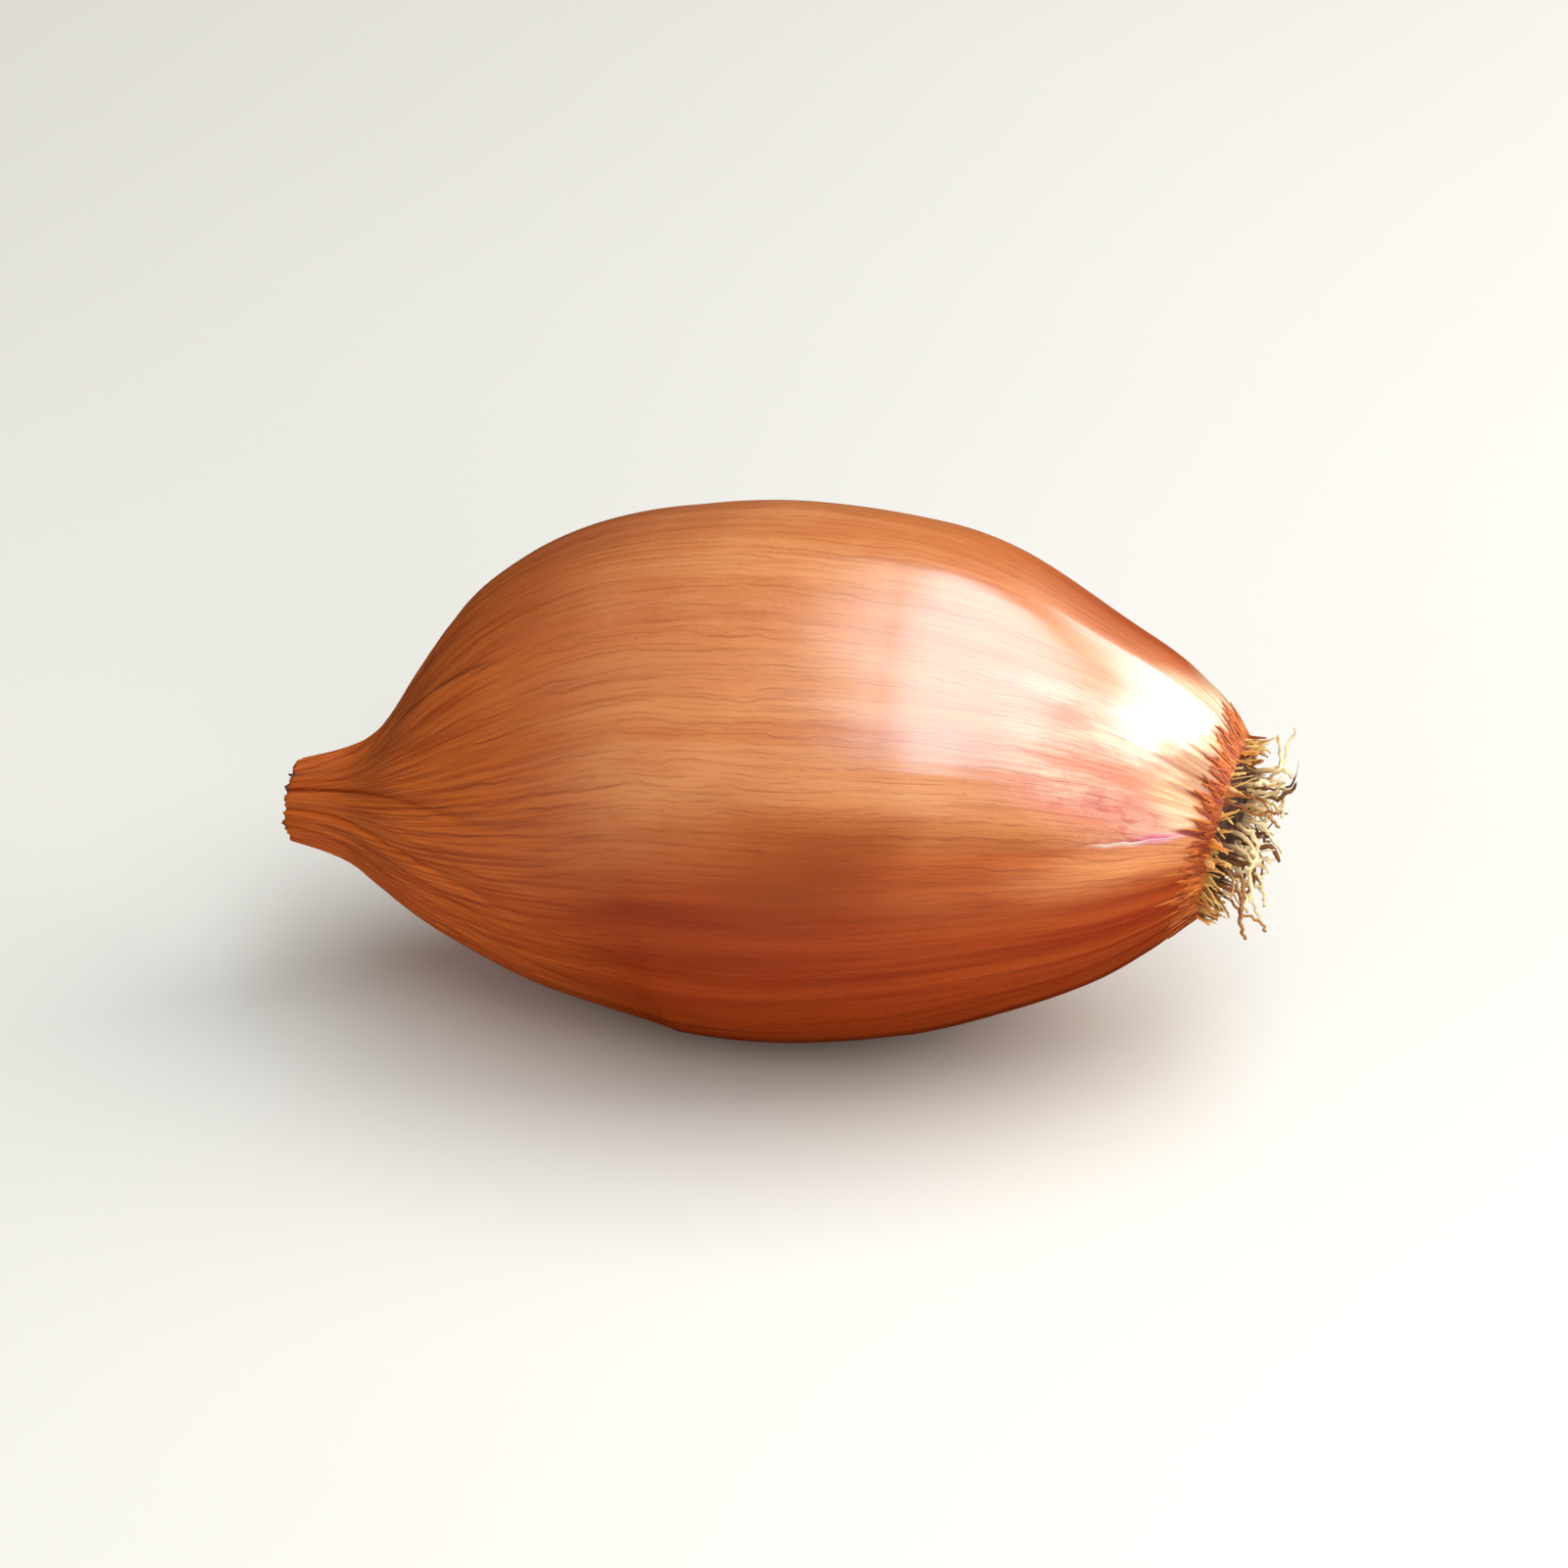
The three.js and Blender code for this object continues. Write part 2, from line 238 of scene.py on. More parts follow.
rib_strengths = np.array([0.45 + 0.55 * fixed_draw(k, 11) for k in range(RIBS)])


def rib_relief(even, along):
    """The valleys between the ribs. Away from the neck they are shallower than the solid's."""
    place = np.mod(even / TURN, 1) * RIBS
    rib = np.floor(place).astype(int) % RIBS
    near_root = fade(along, 0, 7)
    near_neck = ramp(along, 47, 62)
    depth = RIB_SHOWN * BELLY_RIB + ROOT_RIB_SHOWN * (ROOT_RIB - BELLY_RIB) * near_root
    depth = depth + (NECK_RIB - BELLY_RIB) * near_neck
    return -depth * rib_strengths[rib] * np.sin(math.pi * (place - np.floor(place)))


def near_turn(turn, middle, spread):
    """How near a turn lies to another, from 1 there to 0 far away."""
    return bell(turn_from(middle, turn), 0, spread)


def section_share(turn, along):
    """The share of the radius left by the lobes, the flattened side and the shoulder."""
    body = ramp(along, -4, 16) * (1 - 0.75 * ramp(along, 48, 62))
    share = 1 + sum(body * size * np.cos(count * (turn - at)) for count, size, at in LOBES)
    share = share - body * TWIN_SHARE * near_turn(turn, TWIN_TURN, TWIN_SPREAD)
    shoulder = near_turn(turn, SHOULDER_TURN, SHOULDER_SPREAD) * ramp(along, 0, SHOULDER_FROM)
    share = share - SHOULDER_SHARE * shoulder * bell(along, SHOULDER_AT, SHOULDER_LENGTH)
    return share + NECK_FLATTENING * ramp(along, 52, 64) * np.cos(2 * turn)


def neck_twist(along):
    """How far the skin has turned about the centre line on its way to the cut neck."""
    return NECK_TWIST * ramp(along, 44, LENGTH)


def on_skin(turn, along, reach):
    """Points at a reach from the centre line, pressed flat where they meet the floor."""
    point, _, up, side = centre_line(along)
    place = point + side * (reach * np.cos(turn))[..., None] + up * (reach * np.sin(turn))[..., None]
    place[..., 2] = (place[..., 2] + np.sqrt(place[..., 2] ** 2 + BELLY_SOFTNESS)) / 2
    return place


# The dry skin's veins: uneven lines from end to end, each with a strength of its own.
VEINS = 96
VEIN_HALF_WIDTH = 0.011
vein_rng = np.random.default_rng(7)
vein_turns = np.sort((np.arange(VEINS) + vein_rng.uniform(-0.38, 0.38, VEINS)) / VEINS * TURN)
vein_strengths = vein_rng.uniform(0.15, 1.0, VEINS) ** 1.5


def vein_height(turn, along):
    """How strongly a place lies on a vein, from 0 to 1."""
    wander = 0.012 * ripples(turn, along, (2, 5, 9), 0.16, 3)
    place = np.mod(turn + wander, TURN)
    right = np.searchsorted(vein_turns, place) % VEINS
    left = (right - 1) % VEINS
    total = 0
    for near in (left, right):
        total = total + vein_strengths[near] * near_turn(place, vein_turns[near], VEIN_HALF_WIDTH)
    broken = 0.65 + 0.35 * ripples(turn, along, (11, 23, 37), 0.5, 5)
    return np.clip(total * broken, 0, 1)


def creases(turn, along, counts, drift, seed, width):
    """Narrow valleys where an uneven field passes through nought, from 0 to 1."""
    return np.maximum(1 - np.abs(ripples(turn, along, counts, drift, seed)) / width, 0) ** 2


WRINKLES = 30


def wrinkles(turn, along):
    """Long shallow wrinkles, each with its own place, slant and depth."""
    rng = np.random.default_rng(77)
    total = 0
    for _ in range(WRINKLES):
        at, middle = rng.uniform(0, TURN), rng.uniform(6, 52)
        half_length, slant = rng.uniform(4, 13), rng.uniform(-0.008, 0.008)
        width, height = rng.uniform(0.6, 1.3), rng.uniform(-0.05, 0.04)
        across = turn_from(slant * (along - middle), turn - at) * outline_radius(along) / width
        total = total + height * np.exp(-(across**2) - ((along - middle) / half_length) ** 2)
    return total


# The torn edge of the outer skin. It starts at the roots on the side that faces the camera,
# and dies away towards the neck. Above it the outer skin is gone.
EDGE_AT_ROOT = math.radians(24.5)
EDGE_FALL = math.radians(16.2)
EDGE_FALLS_OVER = 9.0
EDGE_LIFT = 0.3
EDGE_THICK = 0.13
EDGE_FADES = 4.5
EDGE_ENDS = 9.5
STEP_WIDTH = 8.0


def edge_turn(along):
    wavy = 0.005 * np.sin(1.1 * along) + 0.004 * np.sin(3.7 * along + 1) + 0.002 * np.sin(9.1 * along)
    fall = EDGE_FALL * (1 - np.exp(-np.maximum(along, 0) / EDGE_FALLS_OVER))
    return EDGE_AT_ROOT - fall + wavy * fade(along, 12, 20)


def edge_step(along):
    """How far the outer skin's edge stands above the skin that it has uncovered."""
    return EDGE_LIFT * ramp(along, 0.3, 3.5) * fade(along, EDGE_FADES, EDGE_ENDS)


# A second layer ends in a slanting crease on the shoulder above the neck.
CREASE_TURN = math.radians(69.5)
CREASE_ALONG = 52.0
CREASE_SLANT = math.radians(0.8)
CREASE_STEP = 0.24


def crease_field(turn, along):
    """The distance in millimetres past the crease, and how strong the crease is there."""
    past = turn_from(CREASE_TURN, turn) - CREASE_SLANT * (along - CREASE_ALONG)
    past = past * outline_radius(along)
    return past, np.exp(-(((along - CREASE_ALONG) / 4.5) ** 4))


def crease_step(turn, along):
    """How far the skin past the crease lies inside the rest."""
    past, strength = crease_field(turn, along)
    return CREASE_STEP * strength * ramp(past, -0.05, 0.3) * fade(past, 0.6, 4.0)


def mesh_object(name, vertices, faces):
    mesh = bpy.data.meshes.new(name)
    mesh.from_pydata((np.asarray(vertices) * MM).tolist(), [], faces)
    mesh.validate()
    mesh.polygons.foreach_set("use_smooth", [True] * len(mesh.polygons))
    piece = bpy.data.objects.new(name, mesh)
    scene.collection.objects.link(piece)
    return piece


def store(piece, name, values):
    """Keeps a number or vector for each point, for the materials."""
    values = np.asarray(values, np.float32)
    kind, key = ("FLOAT_VECTOR", "vector") if values.ndim == 2 else ("FLOAT", "value")
    piece.data.attributes.new(name, kind, "POINT").data.foreach_set(key, values.ravel())


# The skin's rows run from the socket's floor round the rim, over the belly and into the cut neck.
SKIN_ROWS = 190
SKIN_COLUMNS = 424
# The rings that turn in at the rim, each as its place along and its radius.
RIM_PROFILE = ((1.5, 3.0), (1.25, 5.2), (0.9, 5.65), (0.3, 5.85), (-0.02, 6.0), (-0.1, 6.25), (-0.04, 6.45))
# The rings that turn into the cut neck, each as its place past the cut and how far it lies inside.
NECK_PROFILE = ((0.06, 0.1), (0.06, 0.28), (-0.2, 0.4), (-2.2, 0.5))
NECK_RAG_POINTS = 16
# Extra columns at the torn edge: the crevice under it, as millimetres away, and the edge's own face.
CREVICE = (1.1, 0.5)
EDGE_FACE_COLUMNS = 3
# How far the skin's relief goes in, or stands out.
SKIN_INSET = 0.12
PLEAT_DEPTH = 0.55
GATHER_DEPTH = 0.08
DENT_DEPTH = 0.08
VEIN_RISE = 0.02


def denser_ends(share, amount):
    """Shares from 0 to 1, moved closer together near both ends."""
    return lerp(share, (1 - np.cos(math.pi * share)) / 2, amount)


def skin_grid():
    """The turn and the place along of each point of the dry skin, row by row."""
    along = denser_ends(np.linspace(0, 1, SKIN_ROWS) ** 0.97, 0.4)[:, None] * LENGTH
    share = denser_ends(np.linspace(0, 1, SKIN_COLUMNS), 0.3)[None, :]
    turn = edge_turn(along) + share * TURN
    return turn, np.broadcast_to(along, turn.shape)


def skin_reach(turn, along):
    """The outer skin's reach. It follows the solid's, with wrinkles and pleats that go inwards."""
    twisted = turn - neck_twist(along)
    reach = outline_radius(along) * section_share(turn, along)
    reach = reach + rib_relief(even_turn(np.mod(twisted, TURN)), along)
    near_neck = ramp(along, 43, 59)
    near_root = fade(along, 1, 9)
    at_rim = fade(along, 0.5, 4)
    pleats = PLEAT_DEPTH * near_neck * creases(twisted, along, (5, 7, 9), 0.015, 21, 0.6)
    gathers = GATHER_DEPTH * at_rim * creases(turn, along, (17, 24, 31), 0.03, 23, 0.7)
    fine = 0.006 + 0.1 * near_neck + 0.004 * near_root + 0.02 * at_rim
    folds = fine * (0.5 + 0.5 * ripples(twisted, along, (38, 47, 61, 83), 0.03, 25))
    dents = DENT_DEPTH * np.abs(ripples(turn, along, (2, 3, 5), 0.22, 33))
    raised = VEIN_RISE * vein_height(turn, along) + wrinkles(turn, along)
    return reach - SKIN_INSET - pleats - gathers - folds - dents + raised - crease_step(turn, along)


def with_torn_edge(turn, along, reach, step):
    """The turns and reaches with the torn edge's own columns, the crevice's first and its face's last."""
    # Where the step dies away they sink into the skin.
    share = step / EDGE_LIFT
    thick = np.minimum(EDGE_THICK, 0.6 * step)
    sink = 0.15 * (1 - share)
    millimetre = 1 / outline_radius(along[:, :1])
    crevice = turn[:, :1] - millimetre * CREVICE
    crevice_reach = skin_reach(crevice, along[:, : len(CREVICE)]) - step - 0.03 - sink
    face = turn[:, -1:] + millimetre * np.hstack([0.05 * share, 0.02 * share, -0.5 + 0 * share])
    depths = np.hstack([0.4 * thick, thick, thick + 0.2 * (step - thick)])
    face_reach = skin_reach(face, along[:, :EDGE_FACE_COLUMNS]) - depths - sink
    return np.hstack([crevice, turn, face]), np.hstack([crevice_reach, reach, face_reach])


def neck_rag(turn):
    """How far the cut neck's rim reaches beyond its length, unevenly round it."""
    rag = np.array([NECK_RAG * (fixed_draw(k, 5) - 0.5) for k in range(NECK_RAG_POINTS)])
    place = np.mod(turn - NECK_TWIST, TURN) / TURN * NECK_RAG_POINTS
    ragged = np.interp(place, np.arange(NECK_RAG_POINTS + 1), np.append(rag, rag[0]))
    return 0.3 * ragged + 0.07 * ripples(turn, 0, (31, 53, 71), 0, 8) - NECK_SHORT


def build_skin():
    """The dry skin as one closed body, and the fields at its points that its colours are made from."""
    turn, along = skin_grid()
    step = edge_step(along)
    arc = (turn - edge_turn(along)) * outline_radius(along)
    reach = skin_reach(turn, along) - step * fade(arc, 0, STEP_WIDTH)
    turn, reach = with_torn_edge(turn, along, reach, step[:, :1])
    along = np.broadcast_to(along[:, :1], turn.shape)

    # The rim turns in at the roots, and the cut neck turns into its hollow.
    ragged = neck_rag(turn[-1:])
    body = on_skin(turn, along + ramp(along, LENGTH - 3, LENGTH) * ragged, reach)
    waver = 0.08 * ripples(turn[:1], 0, (9, 17, 29, 41), 0, 12)
    rim = [on_skin(turn[:1], np.full_like(waver, place), radius + waver) for place, radius in RIM_PROFILE]
    neck = [on_skin(turn[-1:], LENGTH + past + ragged, reach[-1:] - inset) for past, inset in NECK_PROFILE]
    skin = mesh_object("bulb_skin", *closed_loft(np.concatenate(rim + [body] + neck)))
    sharpen(skin, turn.shape[1], (len(CREVICE), len(CREVICE) + SKIN_COLUMNS - 1))

    along = np.concatenate([np.zeros(len(rim)), along[:, 0], np.full(len(neck), LENGTH)])[:, None]
    turn = np.concatenate([turn[:1]] * len(rim) + [turn] + [turn[-1:]] * len(neck))
    inner_shade, lip_shade = np.zeros(turn.shape), np.zeros(turn.shape)
    # The rows in the socket under the rim and in the cut neck's hollow get painted shade.
    inner_shade[: len(rim) - 2] = 1
    inner_shade[1 - len(neck) :] = 1
    # The crevice under the torn edge and the edge's face get painted shade.
    lip_shade[:, : len(CREVICE)] = 1
    lip_shade[:, -EDGE_FACE_COLUMNS:] = 1
    from_edge = (edge_turn(along) + TURN - turn) * outline_radius(along)
    fields = [np.broadcast_to(along, turn.shape), turn, inner_shade, lip_shade, from_edge]
    return skin, [np.append(field.ravel(), field[[0, -1], 0]) for field in fields]


def sharpen(piece, columns, lines):
    """Keeps the shading apart on both sides of the given columns of a grid."""
    ends = np.empty(len(piece.data.edges) * 2, np.int64)
    piece.data.edges.foreach_get("vertices", ends)
    ends = ends.reshape(-1, 2) % columns
    sharp = (ends[:, 0] == ends[:, 1]) & np.isin(ends[:, 0], lines)
    piece.data.attributes.new("sharp_edge", "BOOLEAN", "EDGE").data.foreach_set("value", sharp)


def patch(turn, along, at_degrees, at_along, half_turn, half_along):
    """A soft round patch of the skin, from 0 to 1."""
    across = np.degrees(turn_from(math.radians(at_degrees), turn)) / half_turn
    return np.exp(-(across**2) - ((along - at_along) / half_along) ** 2)


def body_masks(turn, along, arc, wander):
    """Where the outer skin's colours lie: tan on top, copper underneath, and painted shade low down."""
    # Places that face down are painted darker: painted shade over the skin's own deeper copper.
    facing_up = np.sin(turn + 0.08 * ripples(turn, along, (4, 7, 11), 0.2, 43))
    # The patch lifts that painted shade higher on the lower front.
    facing_up = facing_up - 0.16 * patch(turn, along, 12, 25, 24, 9)
    outer = 1 - ramp(arc, -0.01, 0.01) * (arc < 3)
    # A broad darker patch on the lower front: partly the skin's own maroon patch, partly painted shade.
    blotch_and_shade = patch(turn, along, 9, 26, 19, 9.5) + 0.16 * ripples(turn, along, (5, 9, 14), 0.6, 45)
    auburn = patch(turn, along, 92, 47, 34, 10) + patch(turn, along, 200, 40, 40, 14)
    return {
        # Painted shade underneath, partly the skin's own deeper copper.
        "low": fade(facing_up, -0.2, 0.44),
        "copper": patch(turn, along, -4, 6, 34, 12) * outer,
        "blotch_and_shade": ramp(blotch_and_shade, 0.35, 1.0),
        "auburn": np.minimum(auburn + patch(turn, along, 25, 50, 45, 9), 1),
        "crest": patch(turn, along, 114, 7, 24, 10),
        "neck": ramp(along + 2.5 * wander, 38, 55),
    }


def edge_masks(along, arc, signed, wander, from_edge):
    """Where the colours along the torn edge lie: pink above it, and glowing skin below it."""
    above = ramp(arc, -0.002, 0.006) * fade(arc + wander, 0.6, 1.1)
    far = along + 12 * wander + 3 * arc + 5 * fade(arc, 0, 0.35)
    below = bell(signed, -0.13, 0.15) * fade(signed, -0.01, 0.01)
    blush = ramp(arc, 0, 0.01) * fade(arc + 0.6 * wander, 0.16, 0.34)
    # A pale line along the torn edge: its own paler colour, partly a painted highlight.
    line = bell(from_edge, 0, 0.2) * (from_edge > -0.2) * (edge_step(along) > 0.02)
    return {
        "pink": above * fade(far, 10, 17),
        "ember": below * fade(along + 8 * wander, 5, 14),
        "blush": blush * ramp(along, 1.5, 4) * fade(along, 9, 16),
        "edge": line * ramp(along, 1.3, 2.6) * fade(along, 5.5, 8),
        "magenta": bell(along, 3.1, 1.3) * bell(signed, 0.005, 0.03),
    }


def rim_masks(turn, along, arc, signed, wander):
    """Where flames of rust lick up from the rim over a pale belt of calmer skin."""
    tongues = ripples(turn, along, (19, 27, 38, 53), 0.12, 51) + 0.5 * ripples(turn, along, (67, 91), 0.1, 52)
    fringe = 1.1 + 0.75 * tongues
    wide = fringe + 2.6 * near_turn(turn, math.radians(52), 0.17)
    rust = 0.55 * fade(along - wide, -0.4, 0.5)
    side = ramp(along, 0.5, 1.5) * ramp(signed, -0.32, -0.14) * fade(arc, 2.0, 3.0)
    return {
        "rust": np.maximum(rust, fade(along - fringe, -0.4, 0.3)),
        "pale": side * fade(along + 7 * wander, 1.9, 4.8),
        "calm": side * fade(along + 7 * wander, 3, 8),
    }


def gloss_mask(turn, along):
    """The side that faces the light is glossy, and the rest is duller dry skin."""
    from_front = turn_from(0, turn)
    upper = math.radians(78) + math.radians(20) * fade(along, 8, 20)
    return fade(from_front - upper, 0, 0.6) * ramp(from_front, -0.5, 0.2)


def skin_masks(skin, along, turn, inner_shade, lip_shade, from_edge):
    """Stores what the skin's material reads: its grain, and where each colour lies."""
    # The arc is the turn past the torn edge. It is also kept with its sign, for the skin just below.
    arc = np.mod(turn - edge_turn(along), TURN)
    signed = np.mod(arc + 1, TURN) - 1
    wander = 0.16 * ripples(turn, along, (3, 5, 8, 13), 0.3, 41)
    past, strength = crease_field(turn, along)
    masks = {
        "turn": turn,
        "grain": np.stack([6 * np.cos(turn), 6 * np.sin(turn), 0.045 * along], -1),
        "vein": vein_height(turn, along),
        "shade": strength * bell(past, 0.12, 0.22),
        "glossy": gloss_mask(turn, along),
        "inner_shade": inner_shade,
        "lip_shade": lip_shade * (edge_step(along) > 0.02),
        **body_masks(turn, along, arc, wander),
        **edge_masks(along, arc, signed, wander, from_edge),
        **rim_masks(turn, along, arc, signed, wander),
    }
    for name, values in masks.items():
        store(skin, name, values)


def linear(colour):
    """A colour's parts as the shaders take them. It is given as it looks on a screen, from 0 to 255."""
    parts = [c / 255 for c in colour]
    return [c / 12.92 if c < 0.04045 else ((c + 0.055) / 1.055) ** 2.4 for c in parts] + [1.0]


class Shader:
    """One node material, built by name."""

    def __init__(self, name, rough, specular=0.5):
        self.material = bpy.data.materials.new(name)
        self.material.use_nodes = True
        self.tree = self.material.node_tree
        self.surface = self.tree.nodes["Principled BSDF"]
        self.surface.inputs["Roughness"].default_value = rough
        self.surface.inputs["Specular IOR Level"].default_value = specular

    def add(self, kind, inputs=None, **settings):
        node = self.tree.nodes.new(kind)
        for key, value in settings.items():
            setattr(node, key, value)
        for key, value in (inputs or {}).items():
            self.put(node.inputs[key], value)
        return node

    def put(self, socket, value):
        if isinstance(value, bpy.types.NodeSocket):
            self.tree.links.new(value, socket)
        else:
            socket.default_value = value

    def read(self, name, output="Fac"):
        return self.add("ShaderNodeAttribute", attribute_name=name).outputs[output]

    def place(self):
        return self.add("ShaderNodeTexCoord").outputs["Object"]

    def maths(self, operation, a, b=0.5):
        return self.add("ShaderNodeMath", {0: a, 1: b}, operation=operation).outputs[0]

    def stretch(self, value, low, high, to_low=0.0, to_high=1.0):
        """The value taken smoothly from one range to another, and held at its ends."""
        inputs = {"Value": value, "From Min": low, "From Max": high, "To Min": to_low, "To Max": to_high}
        return self.add("ShaderNodeMapRange", inputs, interpolation_type="SMOOTHSTEP").outputs["Result"]

    def noise(self, vector, scale, detail=4.0, roughness=0.55):
        inputs = {"Vector": vector, "Scale": scale, "Detail": detail, "Roughness": roughness}
        return self.add("ShaderNodeTexNoise", inputs).outputs["Fac"]

    def mix(self, share, first, second, blend="MIX"):
        """Two colours mixed. A tuple is one as it looks on a screen, and a list has the shaders' parts."""
        first, second = [linear(c) if isinstance(c, tuple) else c for c in (first, second)]
        inputs = {0: share, 6: first, 7: second}
        return self.add("ShaderNodeMix", inputs, data_type="RGBA", blend_type=blend).outputs[2]

    def shade(self, field, low, high, first, second):
        """The first colour where a field is low, and the second where it is high."""
        return self.mix(self.stretch(field, low, high), first, second)

    def paint(self, colour, mask, share, over):
        """The colour with another over it where a mask of the mesh says, up to a share."""
        return self.mix(self.product(self.read(mask), share), colour, over)

    def bump(self, height, distance, strength, **below):
        inputs = {"Height": height, "Distance": distance, "Strength": strength, **below}
        return self.add("ShaderNodeBump", inputs).outputs["Normal"]

    def scaled(self, vector, *shares):
        """The vector with each of its three parts scaled."""
        return self.add("ShaderNodeVectorMath", {0: vector, 1: shares}, operation="MULTIPLY").outputs[0]

    def product(self, first, *others):
        for other in others:
            first = self.maths("MULTIPLY", first, other)
        return first

    def lines(self, grain, turn, count, width, seed, dash):
        """Thin lines from end to end, each in its own place, that fade in and out."""
        sway = self.noise(self.scaled(grain, 0.5, 0.5, 1.0), 1.0, 2)
        place = self.maths("ADD", self.product(turn, count / TURN), self.product(sway, 0.02 * count))
        wave = self.noise(self.scaled(grain, 0.8, 0.8, 6.0), 1.0, 2)
        place = self.maths("ADD", place, self.product(wave, 1.4))
        number = self.maths("FLOOR", place)
        inputs = {"W": self.maths("ADD", number, seed)}
        chance = self.add("ShaderNodeTexWhiteNoise", inputs, noise_dimensions="1D").outputs["Value"]
        middle = self.stretch(chance, 0, 1, 0.3, 0.7)
        gap = self.maths("ABSOLUTE", self.maths("SUBTRACT", self.maths("FRACT", place), middle))
        along = self.add("ShaderNodeSeparateXYZ", {0: grain}).outputs["Z"]
        inputs = {0: self.product(number, 3.7), 1: self.product(along, dash)}
        strength = self.noise(self.add("ShaderNodeCombineXYZ", inputs).outputs[0], 1.0, 3)
        return self.product(self.stretch(gap, 0, width, 1, 0), self.stretch(strength, 0.36, 0.66))

    def finish(self, colour, **others):
        """Sets the surface's colour, and other inputs by name, such as Coat_Weight."""
        for name, value in {"Base_Color": colour, **others}.items():
            self.put(self.surface.inputs[name.replace("_", " ")], value)
        return self.material


def outer_skin(s, grain, where, streaks, mottle):
    """The dry outer skin's colour, from tan on top to copper underneath, with painted shade low down."""
    zones = s.noise(grain, 0.32, 3, 0.5)
    clouds = s.noise(where, 0.16, 3, 0.5)
    tan = s.shade(streaks, 0.34, 0.68, (202, 117, 62), (216, 137, 80))
    tan = s.mix(s.product(s.stretch(zones, 0.4, 0.62), 0.45), tan, (192, 104, 64))
    tan = s.mix(s.product(s.stretch(clouds, 0.45, 0.7), 0.4), tan, (222, 146, 88))
    tan = s.paint(tan, "auburn", 0.72, (166, 74, 32))
    # Underneath: the skin's own deeper copper, darkened further as painted shade.
    low = s.shade(streaks, 0.34, 0.68, (142, 42, 3), (170, 62, 9))
    colour = s.paint(tan, "low", 0.95, low)
    copper = s.shade(streaks, 0.34, 0.66, (162, 48, 3), (192, 80, 14))
    colour = s.paint(colour, "copper", 0.85, copper)
    ember = s.product(s.read("ember"), s.stretch(mottle, 0.3, 0.6, 0.5, 0.95))
    colour = s.mix(ember, colour, (242, 158, 108))
    # The darker patch on the lower front, partly painted shade.
    blotch_and_shade = s.product(s.read("blotch_and_shade"), s.stretch(mottle, 0.3, 0.62, 0.5, 1.0), 0.62)
    colour = s.mix(blotch_and_shade, colour, (148, 66, 28))
    return s.paint(colour, "crest", 0.9, (198, 80, 26))


def uncovered_skin(s, grain, mottle):
    """The colour of the glossy layer the torn edge uncovered; its paler tone is partly painted sheen."""
    pink = s.shade(mottle, 0.36, 0.62, (228, 142, 112), (244, 196, 166))
    mauve = s.stretch(s.noise(s.scaled(grain, 1, 1, 5.0), 3.0, 5, 0.66), 0.46, 0.66)
    pink = s.mix(s.product(mauve, 0.28), pink, (216, 112, 98))
    blush = s.product(s.read("blush"), s.stretch(mauve, 0, 1, 0.4, 0.9))
    return s.mix(blush, pink, (214, 112, 104))


